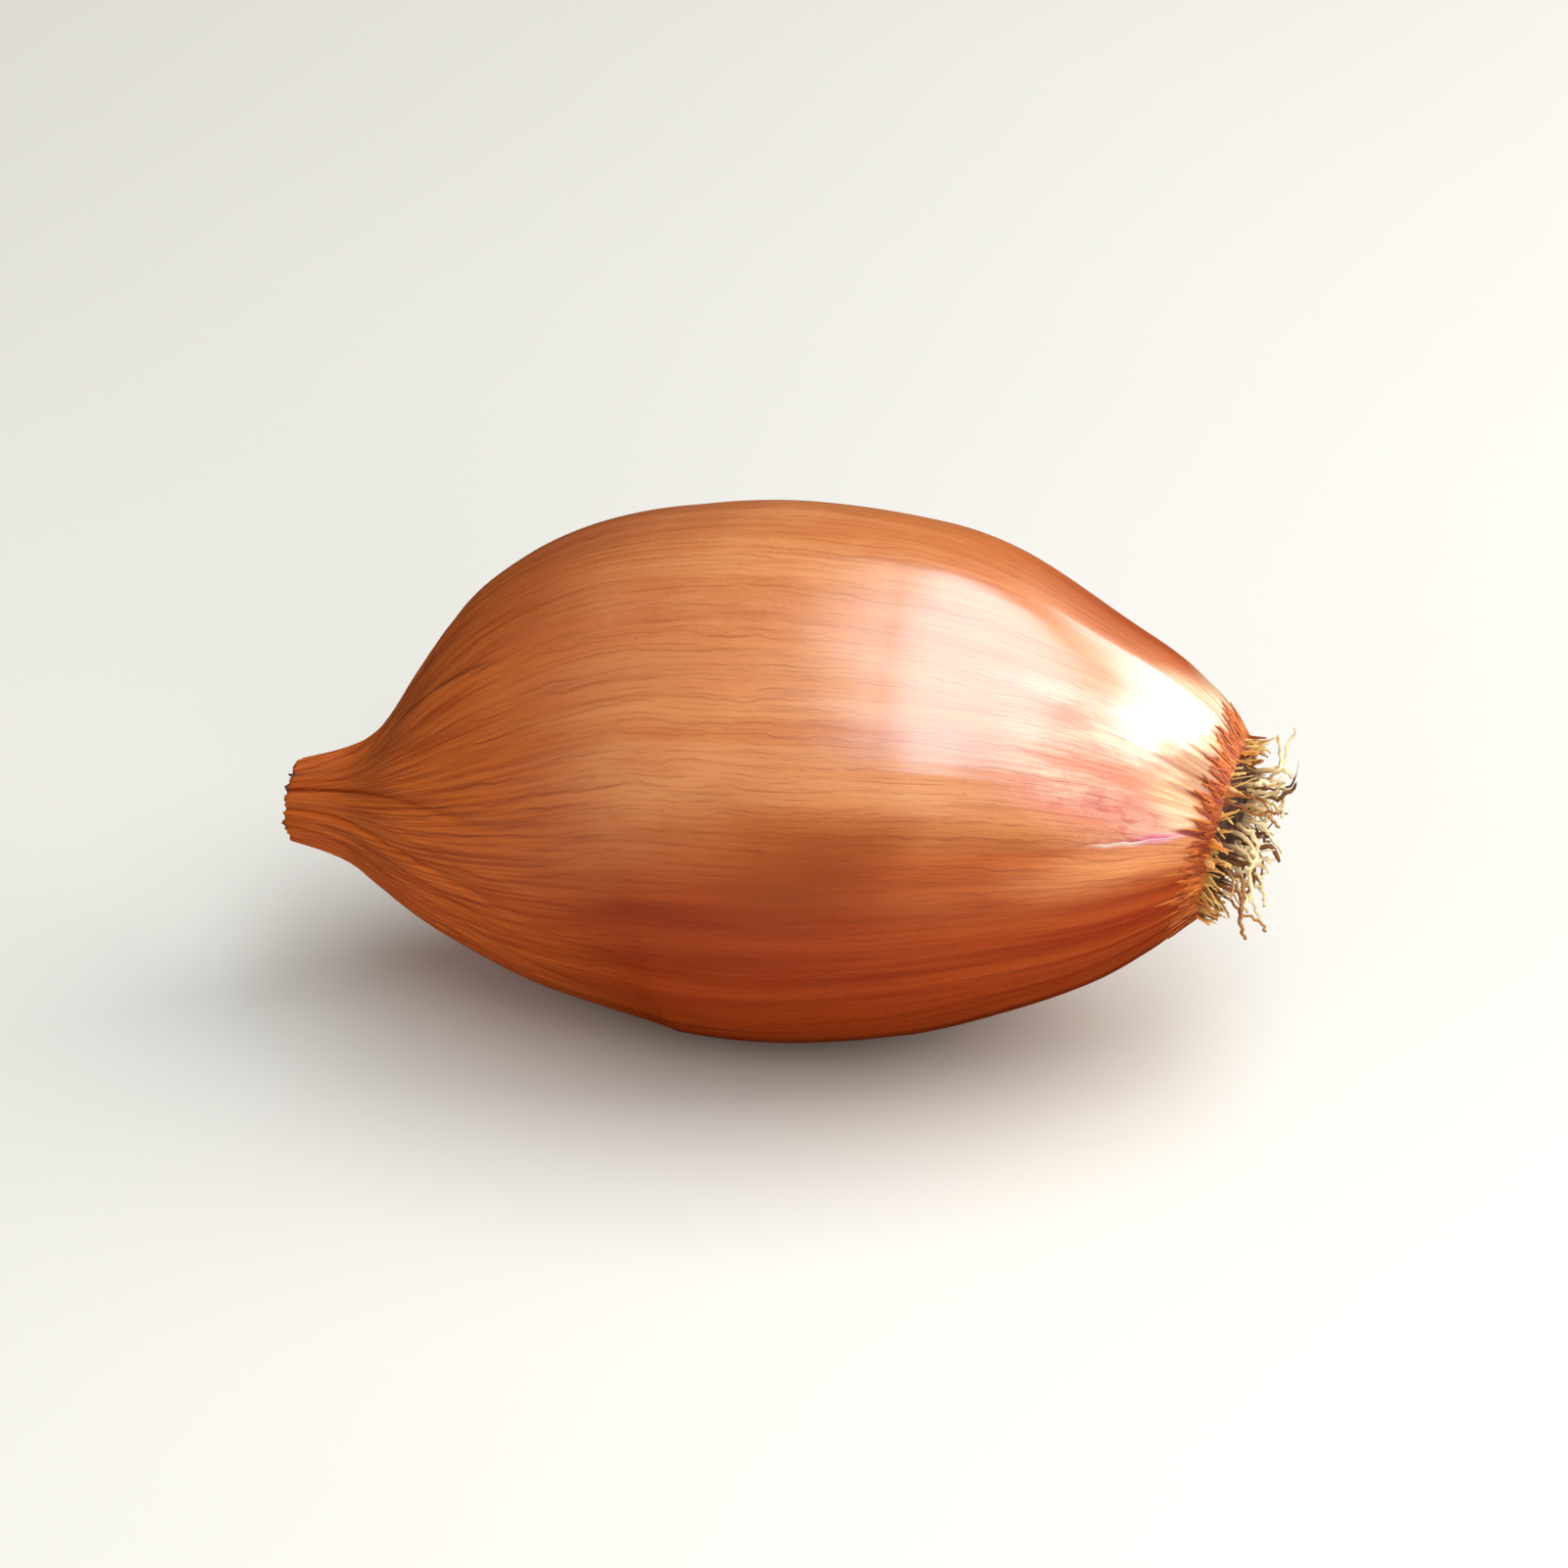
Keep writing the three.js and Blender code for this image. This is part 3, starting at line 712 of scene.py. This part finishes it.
def skin_material():
    s = Shader("dry_skin", 0.36, 0.2)
    grain = s.read("grain", "Vector")
    turn = s.read("turn")
    where = s.scaled(s.place(), 1000, 1000, 1000)
    long_grain = s.scaled(grain, 1, 1, 0.4)
    mottle = s.noise(s.scaled(grain, 1, 1, 2.2), 1.1, 4, 0.6)
    streaks = s.noise(long_grain, 1.5, 4, 0.6)
    fibres = s.noise(long_grain, 7.0, 3, 0.6)
    threads = s.noise(long_grain, 21.0, 2, 0.5)
    crumbs = s.noise(where, 2.4, 4, 0.6)
    veins = s.lines(grain, turn, 104, 0.12, 3.0, 2.4)
    hairs = s.lines(grain, turn, 217, 0.2, 71.0, 8.0)

    # The outer skin, the layer that it uncovers, and the pale belt at the roots.
    colour = outer_skin(s, grain, where, streaks, mottle)
    colour = s.mix(s.read("pink"), colour, uncovered_skin(s, grain, mottle))
    pale = s.shade(fibres, 0.4, 0.66, (250, 214, 174), (236, 172, 122))
    colour = s.paint(colour, "pale", 0.9, pale)

    # Lines and specks. The lines are fainter where the skin is calm.
    calm = s.stretch(s.read("calm"), 0, 1, 1, 0.25)
    lines = (
        (s.stretch(fibres, 0.5, 0.72), 0.26, (142, 60, 24)),
        (hairs, 0.34, (134, 56, 24)),
        (veins, 0.28, (134, 50, 22)),
        (s.read("vein"), 0.14, (140, 60, 30)),
    )
    for line, share, paint in lines:
        colour = s.mix(s.product(line, calm, share), colour, paint)
    specks = s.stretch(s.noise(where, 1.9, 2, 0.4), 0.72, 0.8)
    colour = s.mix(s.product(specks, 0.3), colour, (112, 52, 30))

    # A deeper orange underneath, the colour of the painted shade there.
    colour = s.mix(s.read("low"), colour, [1.0, 0.93, 0.5, 1.0], "MULTIPLY")

    # The two ends, the crease near the neck, and the torn edge with its streak.
    neck = s.shade(fibres, 0.36, 0.66, (212, 102, 28), (174, 70, 14))
    neck = s.mix(s.product(veins, 0.6), neck, (104, 38, 8))
    rust = s.shade(s.noise(long_grain, 2.8, 4, 0.65), 0.42, 0.58, (132, 46, 8), (224, 126, 50))
    marks = (
        ("neck", 0.92, neck),
        ("rust", 0.95, rust),
        ("shade", 0.7, (92, 38, 20)),
        # The pale line on the torn edge, partly a painted highlight.
        ("edge", 0.8, (248, 222, 204)),
        ("magenta", 0.75, (216, 96, 146)),
        # Painted shade in the crevice under the torn edge and on its face.
        ("lip_shade", 0.5, (120, 50, 40)),
        # Painted shade in the socket under the rim and in the neck's hollow.
        ("inner_shade", 0.85, (84, 46, 26)),
    )
    for mask, share, paint in marks:
        colour = s.paint(colour, mask, share, paint)

    height = s.maths("ADD", s.product(fibres, 0.7), s.product(threads, 0.3))
    height = s.maths("ADD", height, s.product(veins, 0.35))
    normal = s.bump(height, 0.00010, s.stretch(s.read("calm"), 0, 1, 0.9, 0.45))
    normal = s.bump(crumbs, 0.00008, 0.6, Normal=normal)
    rough = s.stretch(streaks, 0.3, 0.7, 0.34, 0.42)
    rough = s.maths("SUBTRACT", rough, s.product(s.read("pink"), 0.08))
    rough = s.maths("ADD", rough, s.product(s.read("neck"), 0.18))
    glossy = s.stretch(s.read("glossy"), 0, 1, 0.38, 1.0)
    coat = {"Coat_Weight": glossy, "Coat_IOR": 2.0, "Coat_Roughness": 0.21}
    return s.finish(colour, Normal=normal, Roughness=rough, **coat)


def paper_material(name, dark, light, tip):
    """Torn dry skin: fibres along it, darker where its tint is low, and a paler torn tip."""
    s = Shader(name, 0.55)
    grain = s.read("grain", "Vector")
    tint = s.read("tint")
    fibres = s.noise(grain, 1.8, 4, 0.65)
    patches = s.noise(grain, 0.7, 3, 0.5)
    colour = s.shade(fibres, 0.4, 0.6, dark, light)
    colour = s.mix(s.stretch(tint, 0.5, 1.0, 0, 0.6), colour, tip)
    colour = s.mix(s.stretch(tint, 0.0, 0.4, 0.85, 0), colour, dark)
    at_tip = s.stretch(s.read("tip"), 0.35, 1.0)
    torn = s.product(at_tip, s.stretch(patches, 0.3, 0.6), s.stretch(tint, 0.0, 0.3))
    colour = s.mix(torn, colour, tip)
    rough = s.stretch(patches, 0.3, 0.7, 0.45, 0.7)
    return s.finish(colour, Normal=s.bump(fibres, 0.00015, 0.6), Roughness=rough)


def plate_material():
    s = Shader("basal_plate", 0.85)
    crumbs = s.noise(s.place(), 900.0, 6, 0.65)
    patches = s.noise(s.place(), 260.0, 4)
    # The plate's own brown, darkened as painted shade between the rootlets.
    colour = s.shade(crumbs, 0.35, 0.65, (46, 26, 14), (104, 66, 38))
    colour = s.shade(patches, 0.5, 0.7, colour, (50, 28, 18))
    return s.finish(colour, Normal=s.bump(crumbs, 0.0004, 0.8))


def rootlet_material():
    """Dry rootlets, straw to brown, the darkest partly painted shade; painted shade where they leave the
    plate.
    """
    s = Shader("dry_rootlets", 0.72)
    tint = s.read("tint")
    fibres = s.noise(s.read("grain", "Vector"), 3.0, 4, 0.6)
    colour = s.shade(fibres, 0.35, 0.65, (220, 176, 106), (252, 232, 188))
    colour = s.shade(tint, 0.35, 0.6, colour, (172, 108, 46))
    # The brownest rootlets are their own brown; the darkest partly stand in for rootlets in shade.
    colour = s.shade(tint, 0.6, 0.9, colour, (92, 52, 24))
    colour = s.mix(s.stretch(s.read("root"), 0.15, 0.7, 0.8, 0.0), colour, (170, 98, 32))
    # Near black where they leave the plate: painted shade at their feet.
    colour = s.mix(s.stretch(s.read("root"), 0.1, 0.55, 1.0, 0.0), colour, (48, 25, 12))
    return s.finish(colour, Normal=s.bump(fibres, 0.0001, 0.6))


def floor_material():
    s = Shader("pale_floor", 0.7, 0.3)
    return s.finish(s.shade(s.noise(s.place(), 3.0, 3), 0.3, 0.7, (212, 204, 193), (218, 210, 199)))


def root_end(local):
    """Puts points given round +Y on the root end, over the socket's floor."""
    point, forward, up, side = centre_line(np.array(0.0))
    return point + side * local[..., :1] - forward * (local[..., 1:2] + PLATE_OUT) + up * local[..., 2:]


def tube(points, radii, sides, groove, lobes):
    """Rings round a path. A groove makes them uneven, and lobes turns it along the path."""
    ways = unit(np.gradient(points, axis=0))
    # Any fixed direction will do for the first ring.
    normal = unit(np.cross(ways[0], [0.31, 0.2, 0.93]))
    angles = np.arange(sides) / sides * TURN
    rings = []
    for k, (point, way, radius) in enumerate(zip(points, ways, radii)):
        normal = unit(normal - way * (normal @ way))
        other = np.cross(way, normal)
        uneven = radius * (1 + groove * np.cos(2 * angles + lobes * k / len(points)))[:, None]
        rings.append(point + uneven * (np.cos(angles)[:, None] * normal + np.sin(angles)[:, None] * other))
    return np.array(rings)


def closed_loft(rings, start=0):
    """Vertices and faces of rings joined into one closed body. Its points are numbered from start."""
    count, sides = rings.shape[:2]
    vertices = np.vstack([rings.reshape(-1, 3), rings[0].mean(0), rings[-1].mean(0)])
    ring = start + (np.arange(count) * sides)[:, None] + np.arange(sides)
    beside = np.roll(ring, -1, 1)
    faces = np.stack([ring[:-1], beside[:-1], beside[1:], ring[1:]], -1).reshape(-1, 4).tolist()
    first = start + count * sides
    for k in range(sides):
        faces.append((first, beside[0, k], ring[0, k]))
        faces.append((first + 1, ring[-1, k], beside[-1, k]))
    return vertices, faces


class Bundle:
    """Many small closed bodies of one colour, gathered into one piece."""

    def __init__(self):
        self.vertices, self.faces, self.values = [], [], {}
        self.count = 0

    def add(self, rings, **values):
        """Adds a body. Its two end points take the first and the last of the values given."""
        vertices, faces = closed_loft(rings, self.count)
        self.vertices.append(vertices)
        self.faces += faces
        self.count += len(vertices)
        for name, value in values.items():
            self.values.setdefault(name, []).extend([value, value[:1], value[-1:]])

    def build(self, name):
        piece = mesh_object(name, np.vstack(self.vertices), self.faces)
        for key, parts in self.values.items():
            store(piece, key, np.concatenate(parts))
        return piece


def around(turn):
    """A direction square to +Y."""
    return np.array([math.cos(turn), 0, math.sin(turn)])


def rootlet_path(index):
    """The same path as the solid's rootlet of that number, as points round +Y."""
    draw = seeded_draw(index * 101 + 9)
    spread = math.sqrt((index + 0.6) / ROOTLETS)
    turn = index * math.pi * (3 - math.sqrt(5))
    away = around(turn)
    curl = unit(away * spread + 0.9 * around((draw() - 0.5) * TURN) + np.array([0, 0, -0.7]))
    bend = lerp(0.4, 1.8, draw())
    length = lerp(1.6, 3.0, draw()) + 2.6 * (bend - 0.4) * spread
    swirl = lerp(-0.4, 0.4, draw())
    heading = unit(np.array([0, 1, 0]) + away * 0.12 * spread)
    place = away * spread * (PLATE_RADIUS - 1) + np.array([0, PLATE_EDGE - 1, 0])
    points = [place]
    stride = (length + 1) / ROOTLET_STEPS
    for k in range(ROOTLET_STEPS):
        past = max((k + 0.5) * stride - 1 - ROOTLET_STRAIGHT, 0)
        angle = bend * min(past / ROOTLET_SWING, 1)
        over = swing(curl, swirl * past)
        place = place + stride * (heading * math.cos(angle) + over * math.sin(angle))
        points.append(place)
    return np.array(points)


def swing(vector, angle):
    """The vector turned about +Y."""
    x, y, z = vector
    return np.array([x * math.cos(angle) + z * math.sin(angle), y, z * math.cos(angle) - x * math.sin(angle)])


def add_rootlet(bundle, rng, points, radii, sides, key):
    """One dry rootlet: a shrivelled strand with a groove along it."""
    count = len(points)
    along = np.linspace(0, 1, count)
    rings = tube(points, radii, sides, 0.22, rng.uniform(2, 7))
    across = np.tile(np.cos(np.arange(sides) / sides * TURN), count)
    grain = np.stack([across, np.repeat(along * 1.5, sides), np.full(count * sides, key * 3.1)], -1)
    rings = root_end(rings)
    rings[..., 0] = np.minimum(rings[..., 0], cad_box[1].x / MM - 0.02)
    bundle.add(rings, grain=grain, root=np.repeat(along, sides), tint=np.full(len(grain), rng.uniform()))


def add_main_rootlets(bundle, rng):
    """The solid's rootlets, thinner and wavier."""
    for index in range(ROOTLETS):
        points = catmull_rom(rootlet_path(index), 5)
        count = len(points)
        along = np.linspace(0, 1, count)
        wiggle = np.cumsum(rng.normal(0, 0.085, (count, 3)), 0) * ramp(along, 0.15, 0.6)[:, None]
        radii = ROOTLET_RADIUS * rng.uniform(0.34, 0.64) * lerp(1.0, 0.45, along**1.3)
        radii = radii * (1 + 0.1 * rng.normal(0, 1, count))
        add_rootlet(bundle, rng, points + wiggle, np.maximum(radii, 0.09), 8, index)


def add_fine_rootlets(bundle, rng):
    """Short hair-thin rootlets that wander more and more as they grow."""
    for index in range(FINE_ROOTLETS):
        turn, spread = rng.uniform(0, TURN), rng.uniform(0.1, 1) ** 0.6
        away = around(turn)
        place = away * spread * (PLATE_RADIUS - 0.8) + np.array([0, PLATE_EDGE - 0.6, 0])
        way = unit(np.array([0, 1, 0]) + away * rng.uniform(-0.1, 0.35) + rng.normal(0, 0.15, 3))
        curl = rng.normal(0, 1, 3) + np.array([0, -0.3, -0.5])
        points = [place]
        for k in range(FINE_ROOTLET_STEPS):
            loose = ramp(k, 3, 8)
            curl = curl + rng.normal(0, 0.5, 3)
            way = unit(way + loose * 0.16 * curl)
            place = place + way * rng.uniform(0.22, 0.4)
            points.append(place)
        points = catmull_rom(points, 2)
        radii = lerp(0.14, 0.06, np.linspace(0, 1, len(points))) * rng.uniform(0.7, 1.3)
        add_rootlet(bundle, rng, points, radii, 5, ROOTLETS + index)


def build_rootlets():
    bundle = Bundle()
    rng = np.random.default_rng(17)
    add_main_rootlets(bundle, rng)
    add_fine_rootlets(bundle, rng)
    return bundle.build("rootlets")


def build_plate():
    """The basal plate, rough, with a raised ring near its edge."""
    sides, rows = 72, 18
    share = np.linspace(0, 1, rows)[:, None]
    angle = (np.arange(sides) / sides * TURN)[None, :]
    dome = PLATE_CROWN * np.sin(math.pi * np.clip(share * 1.15, 0, 1)) ** 0.7
    rough = 0.12 * ripples(angle, share * 9, (3, 7, 11, 17), 1.5, 61)
    height = PLATE_EDGE + np.maximum(dome + rough, -0.1) * np.minimum(1, 4 * (1 - share)) - 0.9 * share**8
    # The last ring goes round the underside.
    height = np.vstack([height[1:], 0 * angle])
    radius = np.vstack([PLATE_RADIUS * share[1:], [[0.92 * PLATE_RADIUS]]])
    rings = np.stack([radius * np.cos(angle), height, radius * np.sin(angle)], -1)
    return mesh_object("basal_plate", *closed_loft(root_end(rings)))


def torn_sides(rng, share):
    """How far each side of a strip reaches along its length, more unevenly towards its tip."""
    return np.maximum(1 + (0.08 + 0.3 * share[:, None]) * rng.normal(0, 1, (len(share), 2)), 0.15)


def add_strip(bundle, middles, across, halves, sides_torn, thick, cup, key, pale=1.0):
    """A thin curling strip along a path. across lies along its width, and cup hollows it."""
    share = np.linspace(-1, 1, TORN_COLUMNS)
    ways = unit(np.gradient(middles, axis=0))
    across = unit(np.broadcast_to(across, middles.shape))
    faces_out = unit(np.cross(across, ways))
    rings = []
    for middle, side, out, half, torn in zip(middles, across, faces_out, halves, sides_torn):
        arch = cup * half * (1 - share**2)
        line = middle + side * (share * half * np.where(share < 0, torn[0], torn[1]))[:, None]
        top = line + out * (arch + thick / 2)[:, None]
        low = line + out * (arch - thick / 2)[:, None]
        rings.append(np.vstack([top, low[::-1]]))
    rings = np.array(rings)
    count, sides = rings.shape[:2]
    over = np.concatenate([share, share[::-1]])
    lengths = np.append(0, np.cumsum(np.linalg.norm(np.diff(middles, axis=0), axis=1)))
    sideways = (over * halves[:, None]).ravel() * 2.0
    grain = np.stack([sideways, np.repeat(lengths * 0.3, sides), np.full(count * sides, key)], -1)
    tip = np.repeat(lengths / lengths[-1], sides)
    tint = np.full(len(tip), pale * fixed_draw(int(1000 * key), 3))
    bundle.add(rings, grain=grain, tip=tip, tint=tint)


def add_tooth(bundle, rng, turn, width, length, lean, lift):
    """A flake of torn skin that lies back from the rim over the bulb's shoulder."""
    share = np.linspace(0, 1, TORN_ROWS)
    along = lerp(-0.2, length, share)
    leant = turn + lean * along
    on_body = np.maximum(along, 0.02)
    reach = np.where(along < 0, RIM_RADIUS - 0.1, skin_reach(leant, on_body)) + 0.05 + lift * share**3
    middles = on_skin(leant, along, reach)
    _, forward, up, side = centre_line(np.array(0.0))
    across = np.cross(side * math.cos(turn) + up * math.sin(turn), forward)
    halves = width / 2 * np.interp(share, [0, 0.4, 0.75, 1], [1, 0.95, 0.55, 0.08])
    pale = 1 - 0.9 * near_turn(turn, edge_turn(0.0) + 0.1, 0.35)
    torn = torn_sides(rng, share)
    cup = 0.1 * rng.normal()
    add_strip(bundle, middles, across, halves, torn, TOOTH_THICK, cup, turn * 9, pale)


def add_shred(bundle, rng, turn, radius, width, length, flare, lean, thick):
    """A shred of torn skin that stands out of the rim, curling and twisting as it goes."""
    share = np.linspace(0, 1, TORN_ROWS)
    reach = lerp(-SHRED_SUNK, length, share)
    out = np.maximum(reach, 0)
    point, forward, up, side = centre_line(np.array(0.0))
    away = side * math.cos(turn) + up * math.sin(turn)
    across = np.cross(forward, away)
    opening = flare * out * (0.6 + 0.15 * out)
    middles = point - forward * reach[:, None] + away * (radius + opening)[:, None]
    middles = middles + across * (lean * out + 0.05 * rng.normal(0, 1) * out**2)[:, None]
    twist = rng.normal(0, 0.55) * out
    turned = across * np.cos(twist)[:, None] + away * np.sin(twist)[:, None]
    halves = width / 2 * np.interp(share, [0, 0.4, 0.75, 1], [1, 0.95, 0.7, rng.uniform(0.05, 0.5)])
    add_strip(bundle, middles, turned, halves, torn_sides(rng, share), thick, -0.3, turn * 7)


def build_collar():
    """The torn collar: flakes that lie back on the shoulder, shreds that stand out, and a lining."""
    teeth, shreds, lining = Bundle(), Bundle(), Bundle()
    rng = np.random.default_rng(29)
    for index in range(TEETH):
        draw = seeded_draw(index * 57 + 2)
        turn = (index + 0.5 * (draw() - 0.5)) / TEETH * TURN
        width = TOOTH_WIDTH_SHOWN * lerp(1.3, 2.5, draw())
        length = TOOTH_LENGTH_SHOWN * lerp(1.2, 3.4, draw() ** 1.3)
        add_tooth(teeth, rng, turn, width, length, 0.16 * (draw() - 0.5), rng.uniform(0.0, 0.1))
    for index in range(FINE_TEETH):
        turn = (index + rng.uniform(-0.4, 0.4)) / FINE_TEETH * TURN
        width, length = rng.uniform(0.15, 0.5), rng.uniform(0.4, 1.8)
        add_tooth(teeth, rng, turn, width, length, rng.uniform(-0.08, 0.08), rng.uniform(0.0, 0.08))
    for index in range(SHREDS):
        draw = seeded_draw(index * 31 + 4)
        turn = (index + 0.6 * (draw() - 0.5)) / SHREDS * TURN
        width = SHRED_WIDTH_SHOWN * lerp(1.0, 2.6, draw())
        length = lerp(0.5, 1.6, draw())
        flare = lerp(0.05, 0.8, draw())
        lean = 0.8 * (draw() - 0.5)
        add_shred(shreds, rng, turn, RIM_RADIUS - 0.05, width, length, flare, lean, SHRED_THICK)
    for index in range(FINE_SHREDS):
        turn = (index + rng.uniform(-0.5, 0.5)) / FINE_SHREDS * TURN
        radius = rng.uniform(5.7, 6.4)
        width, length = rng.uniform(0.15, 0.6), rng.uniform(0.3, 1.9)
        flare, lean = rng.uniform(-0.4, 0.75), rng.uniform(-0.8, 0.8)
        add_shred(lining, rng, turn, radius, width, length, flare, lean, LINING_THICK)
    return teeth.build("collar_teeth"), shreds.build("collar_shreds"), lining.build("collar_lining")


# The sheaths in the cut neck, each as its share of the neck's radius and how far it stands past the cut.
# The last is the core.
SHEATHS = ((0.74, 0.1), (0.55, -0.25), (0.36, 0.05), (0.18, -0.4))
SHEATH_COLUMNS = 96
# A sheath's rings over its rim: their depth, how far through its wall they lie, and how torn they are.
SHEATH_DEPTHS = (4, 1.5, 0.4, 0, 0, 0, 0.4, 1.5)
SHEATH_INSETS = (0, 0, 0, 0.02, 0.5, 1, 1, 1)
SHEATH_TORN = (0, 0, 0.5, 1, 1, 1, 0.5, 0)


def build_neck_sheaths():
    """The dry leaf bases inside the cut neck: nested folded sheaths and a shrivelled core."""
    bundle = Bundle()
    turn = (np.arange(SHEATH_COLUMNS) / SHEATH_COLUMNS * TURN)[None, :]
    for layer, (share, top) in enumerate(SHEATHS):
        fold = 1 + 0.09 * ripples(turn, 0, (3, 5, 8, 13), 0, 70 + layer)
        radius = outline_radius(LENGTH) * share * fold * section_share(turn, LENGTH)
        jag = top + 0.18 * ripples(turn, 0, (7, 12, 19, 31), 0, 90 + layer)
        wall = 0.2 if layer < len(SHEATHS) - 1 else radius * 0.98
        rings = []
        for depth, inset in zip(SHEATH_DEPTHS, SHEATH_INSETS):
            rim = LENGTH + jag - 0.04 * abs(inset - 0.5)
            along = np.full_like(turn, LENGTH - depth) if depth else rim
            rings.append(on_skin(turn, along, radius - wall * inset)[0])
        grain = np.stack([6 * np.cos(turn[0]), 6 * np.sin(turn[0]), np.full(SHEATH_COLUMNS, layer * 2.0)], -1)
        tip = np.repeat(SHEATH_TORN, SHEATH_COLUMNS)
        bundle.add(np.array(rings), grain=np.tile(grain, (len(rings), 1)), tip=tip, tint=0 * tip)
    return bundle.build("neck_sheaths")


def dress(piece, material, slot, *nodes):
    """Gives a piece its material and body, hides the solid's nodes it stands for. The slot is not used."""
    piece.data.materials.append(material)
    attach(piece, "root")
    if nodes:
        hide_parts(*nodes)


skin, fields = build_skin()
skin_masks(skin, *fields)
dress(skin, skin_material(), "dry_skin", "bulb")
papers = (
    ("torn_skin", (136, 44, 8), (224, 124, 40), (206, 98, 28)),
    ("torn_ruff", (146, 60, 8), (220, 126, 36), (234, 174, 88)),
    ("torn_lining", (124, 58, 14), (206, 126, 42), (232, 182, 98)),
    ("neck_layers", (110, 62, 32), (190, 130, 76), (206, 156, 100)),
)
for piece, paper in zip((*build_collar(), build_neck_sheaths()), papers):
    dress(piece, paper_material(*paper), "dry_skin")
dress(build_plate(), plate_material(), "rootlets")
dress(build_rootlets(), rootlet_material(), "rootlets", "root_tuft")

# The floor, which the gloss doesn't mirror.
FLOOR_REACH = 900
corners = [(x * FLOOR_REACH, y * FLOOR_REACH, 0) for x, y in ((-1, -1), (1, -1), (1, 1), (-1, 1))]
floor = mesh_object("floor", corners, [(0, 1, 2, 3)])
floor.data.materials.append(floor_material())
floor.visible_glossy = False

# The lights face this point, and so does the camera. From here on everything is in metres.
AIM = Vector((0.0, 0.0, 0.0175))
WARM = (1.0, 0.96, 0.92)
COOL = (0.76, 0.9, 1.0)
CEILING = 0.47
CEILING_RIGHT = 0.265
STRIP = 0.014


def area_light(name, place, size, watts, colour):
    """A soft light panel of a width and a height. It hangs at a place and faces the shallot."""
    data = bpy.data.lights.new(name, "AREA")
    data.shape = "RECTANGLE"
    data.size, data.size_y = size
    data.energy = watts
    data.color = colour
    lamp = bpy.data.objects.new(name, data)
    lamp.location = place
    lamp.rotation_euler = (AIM - lamp.location).to_track_quat("-Z", "Y").to_euler()
    scene.collection.objects.link(lamp)
    return lamp


def ceiling_light(name, x_range, y_range, radiance):
    """A level light panel over the shallot, between two lengths and two widths."""
    size = (x_range[1] - x_range[0], y_range[1] - y_range[0])
    place = (sum(x_range) / 2, sum(y_range) / 2, CEILING)
    watts = radiance * math.pi * size[0] * size[1]
    area_light(name, place, size, watts, COOL).rotation_euler = (0, 0, 0)


area_light("key", (0.448, 0.166, 0.356), (0.5, 0.4), 2.7, (1.0, 0.98, 0.95)).visible_glossy = False
# The panel that makes the bright glint above the roots.
glint = area_light("glint", (0.431, 0.264, 0.356), (0.72, 0.3), 4.4, (1.0, 0.99, 0.97))
glint.rotation_euler.rotate_axis("Z", math.radians(-25))
glint.visible_diffuse = False

# The ceiling panel. The strips at its left and front get dim outwards, and soften its mirror image.
ceiling_light("top", (0.04, CEILING_RIGHT), (-0.3, 0.34), 4.7)
for k in range(6):
    start = -0.044 + STRIP * k
    ceiling_light("top_left_%d" % k, (start, start + STRIP), (-0.2 - 0.02 * k, 0.32), 0.66 * (k + 1))
for k in range(5):
    start = -0.02 + STRIP * k
    ceiling_light("front_left_%d" % k, (start, start + STRIP), (-0.33 - 0.04 * k, -0.29), 0.85 * (k + 1))
for k, radiance in enumerate((4.9, 5.5, 5.5, 4.1, 2.7, 1.3)):
    x_range = (0.05 + 0.012 * k, CEILING_RIGHT)
    ceiling_light("top_front_%d" % k, x_range, (-0.35 - 0.05 * k, -0.3 - 0.05 * k), radiance)
area_light("fill", (0.46, -0.7, 0.42), (0.7, 0.6), 3.5, WARM).visible_glossy = False
area_light("left_fill", (-0.5, -0.62, 0.4), (0.6, 0.5), 1.2, WARM).visible_glossy = False

world = bpy.data.worlds.new("studio")
world.use_nodes = True
background = world.node_tree.nodes["Background"]
background.inputs["Color"].default_value = (0.95, 0.97, 1.0, 1)
background.inputs["Strength"].default_value = 0.2
world.cycles_visibility.glossy = False
scene.world = world
scene.view_settings.view_transform = "Standard"

VIEW_TURN = math.radians(12)
VIEW_HEIGHT = math.radians(30)
VIEW_DISTANCE = 0.57
level = math.cos(VIEW_HEIGHT)
towards_camera = Vector((math.sin(VIEW_TURN) * level, -math.cos(VIEW_TURN) * level, math.sin(VIEW_HEIGHT)))
camera_data = bpy.data.cameras.new("camera")
camera_data.lens = 190
camera_data.sensor_width = 36
camera = bpy.data.objects.new("camera", camera_data)
camera.location = AIM + towards_camera * VIEW_DISTANCE
camera.rotation_euler = (-towards_camera).to_track_quat("-Z", "Y").to_euler()
scene.collection.objects.link(camera)
scene.camera = camera
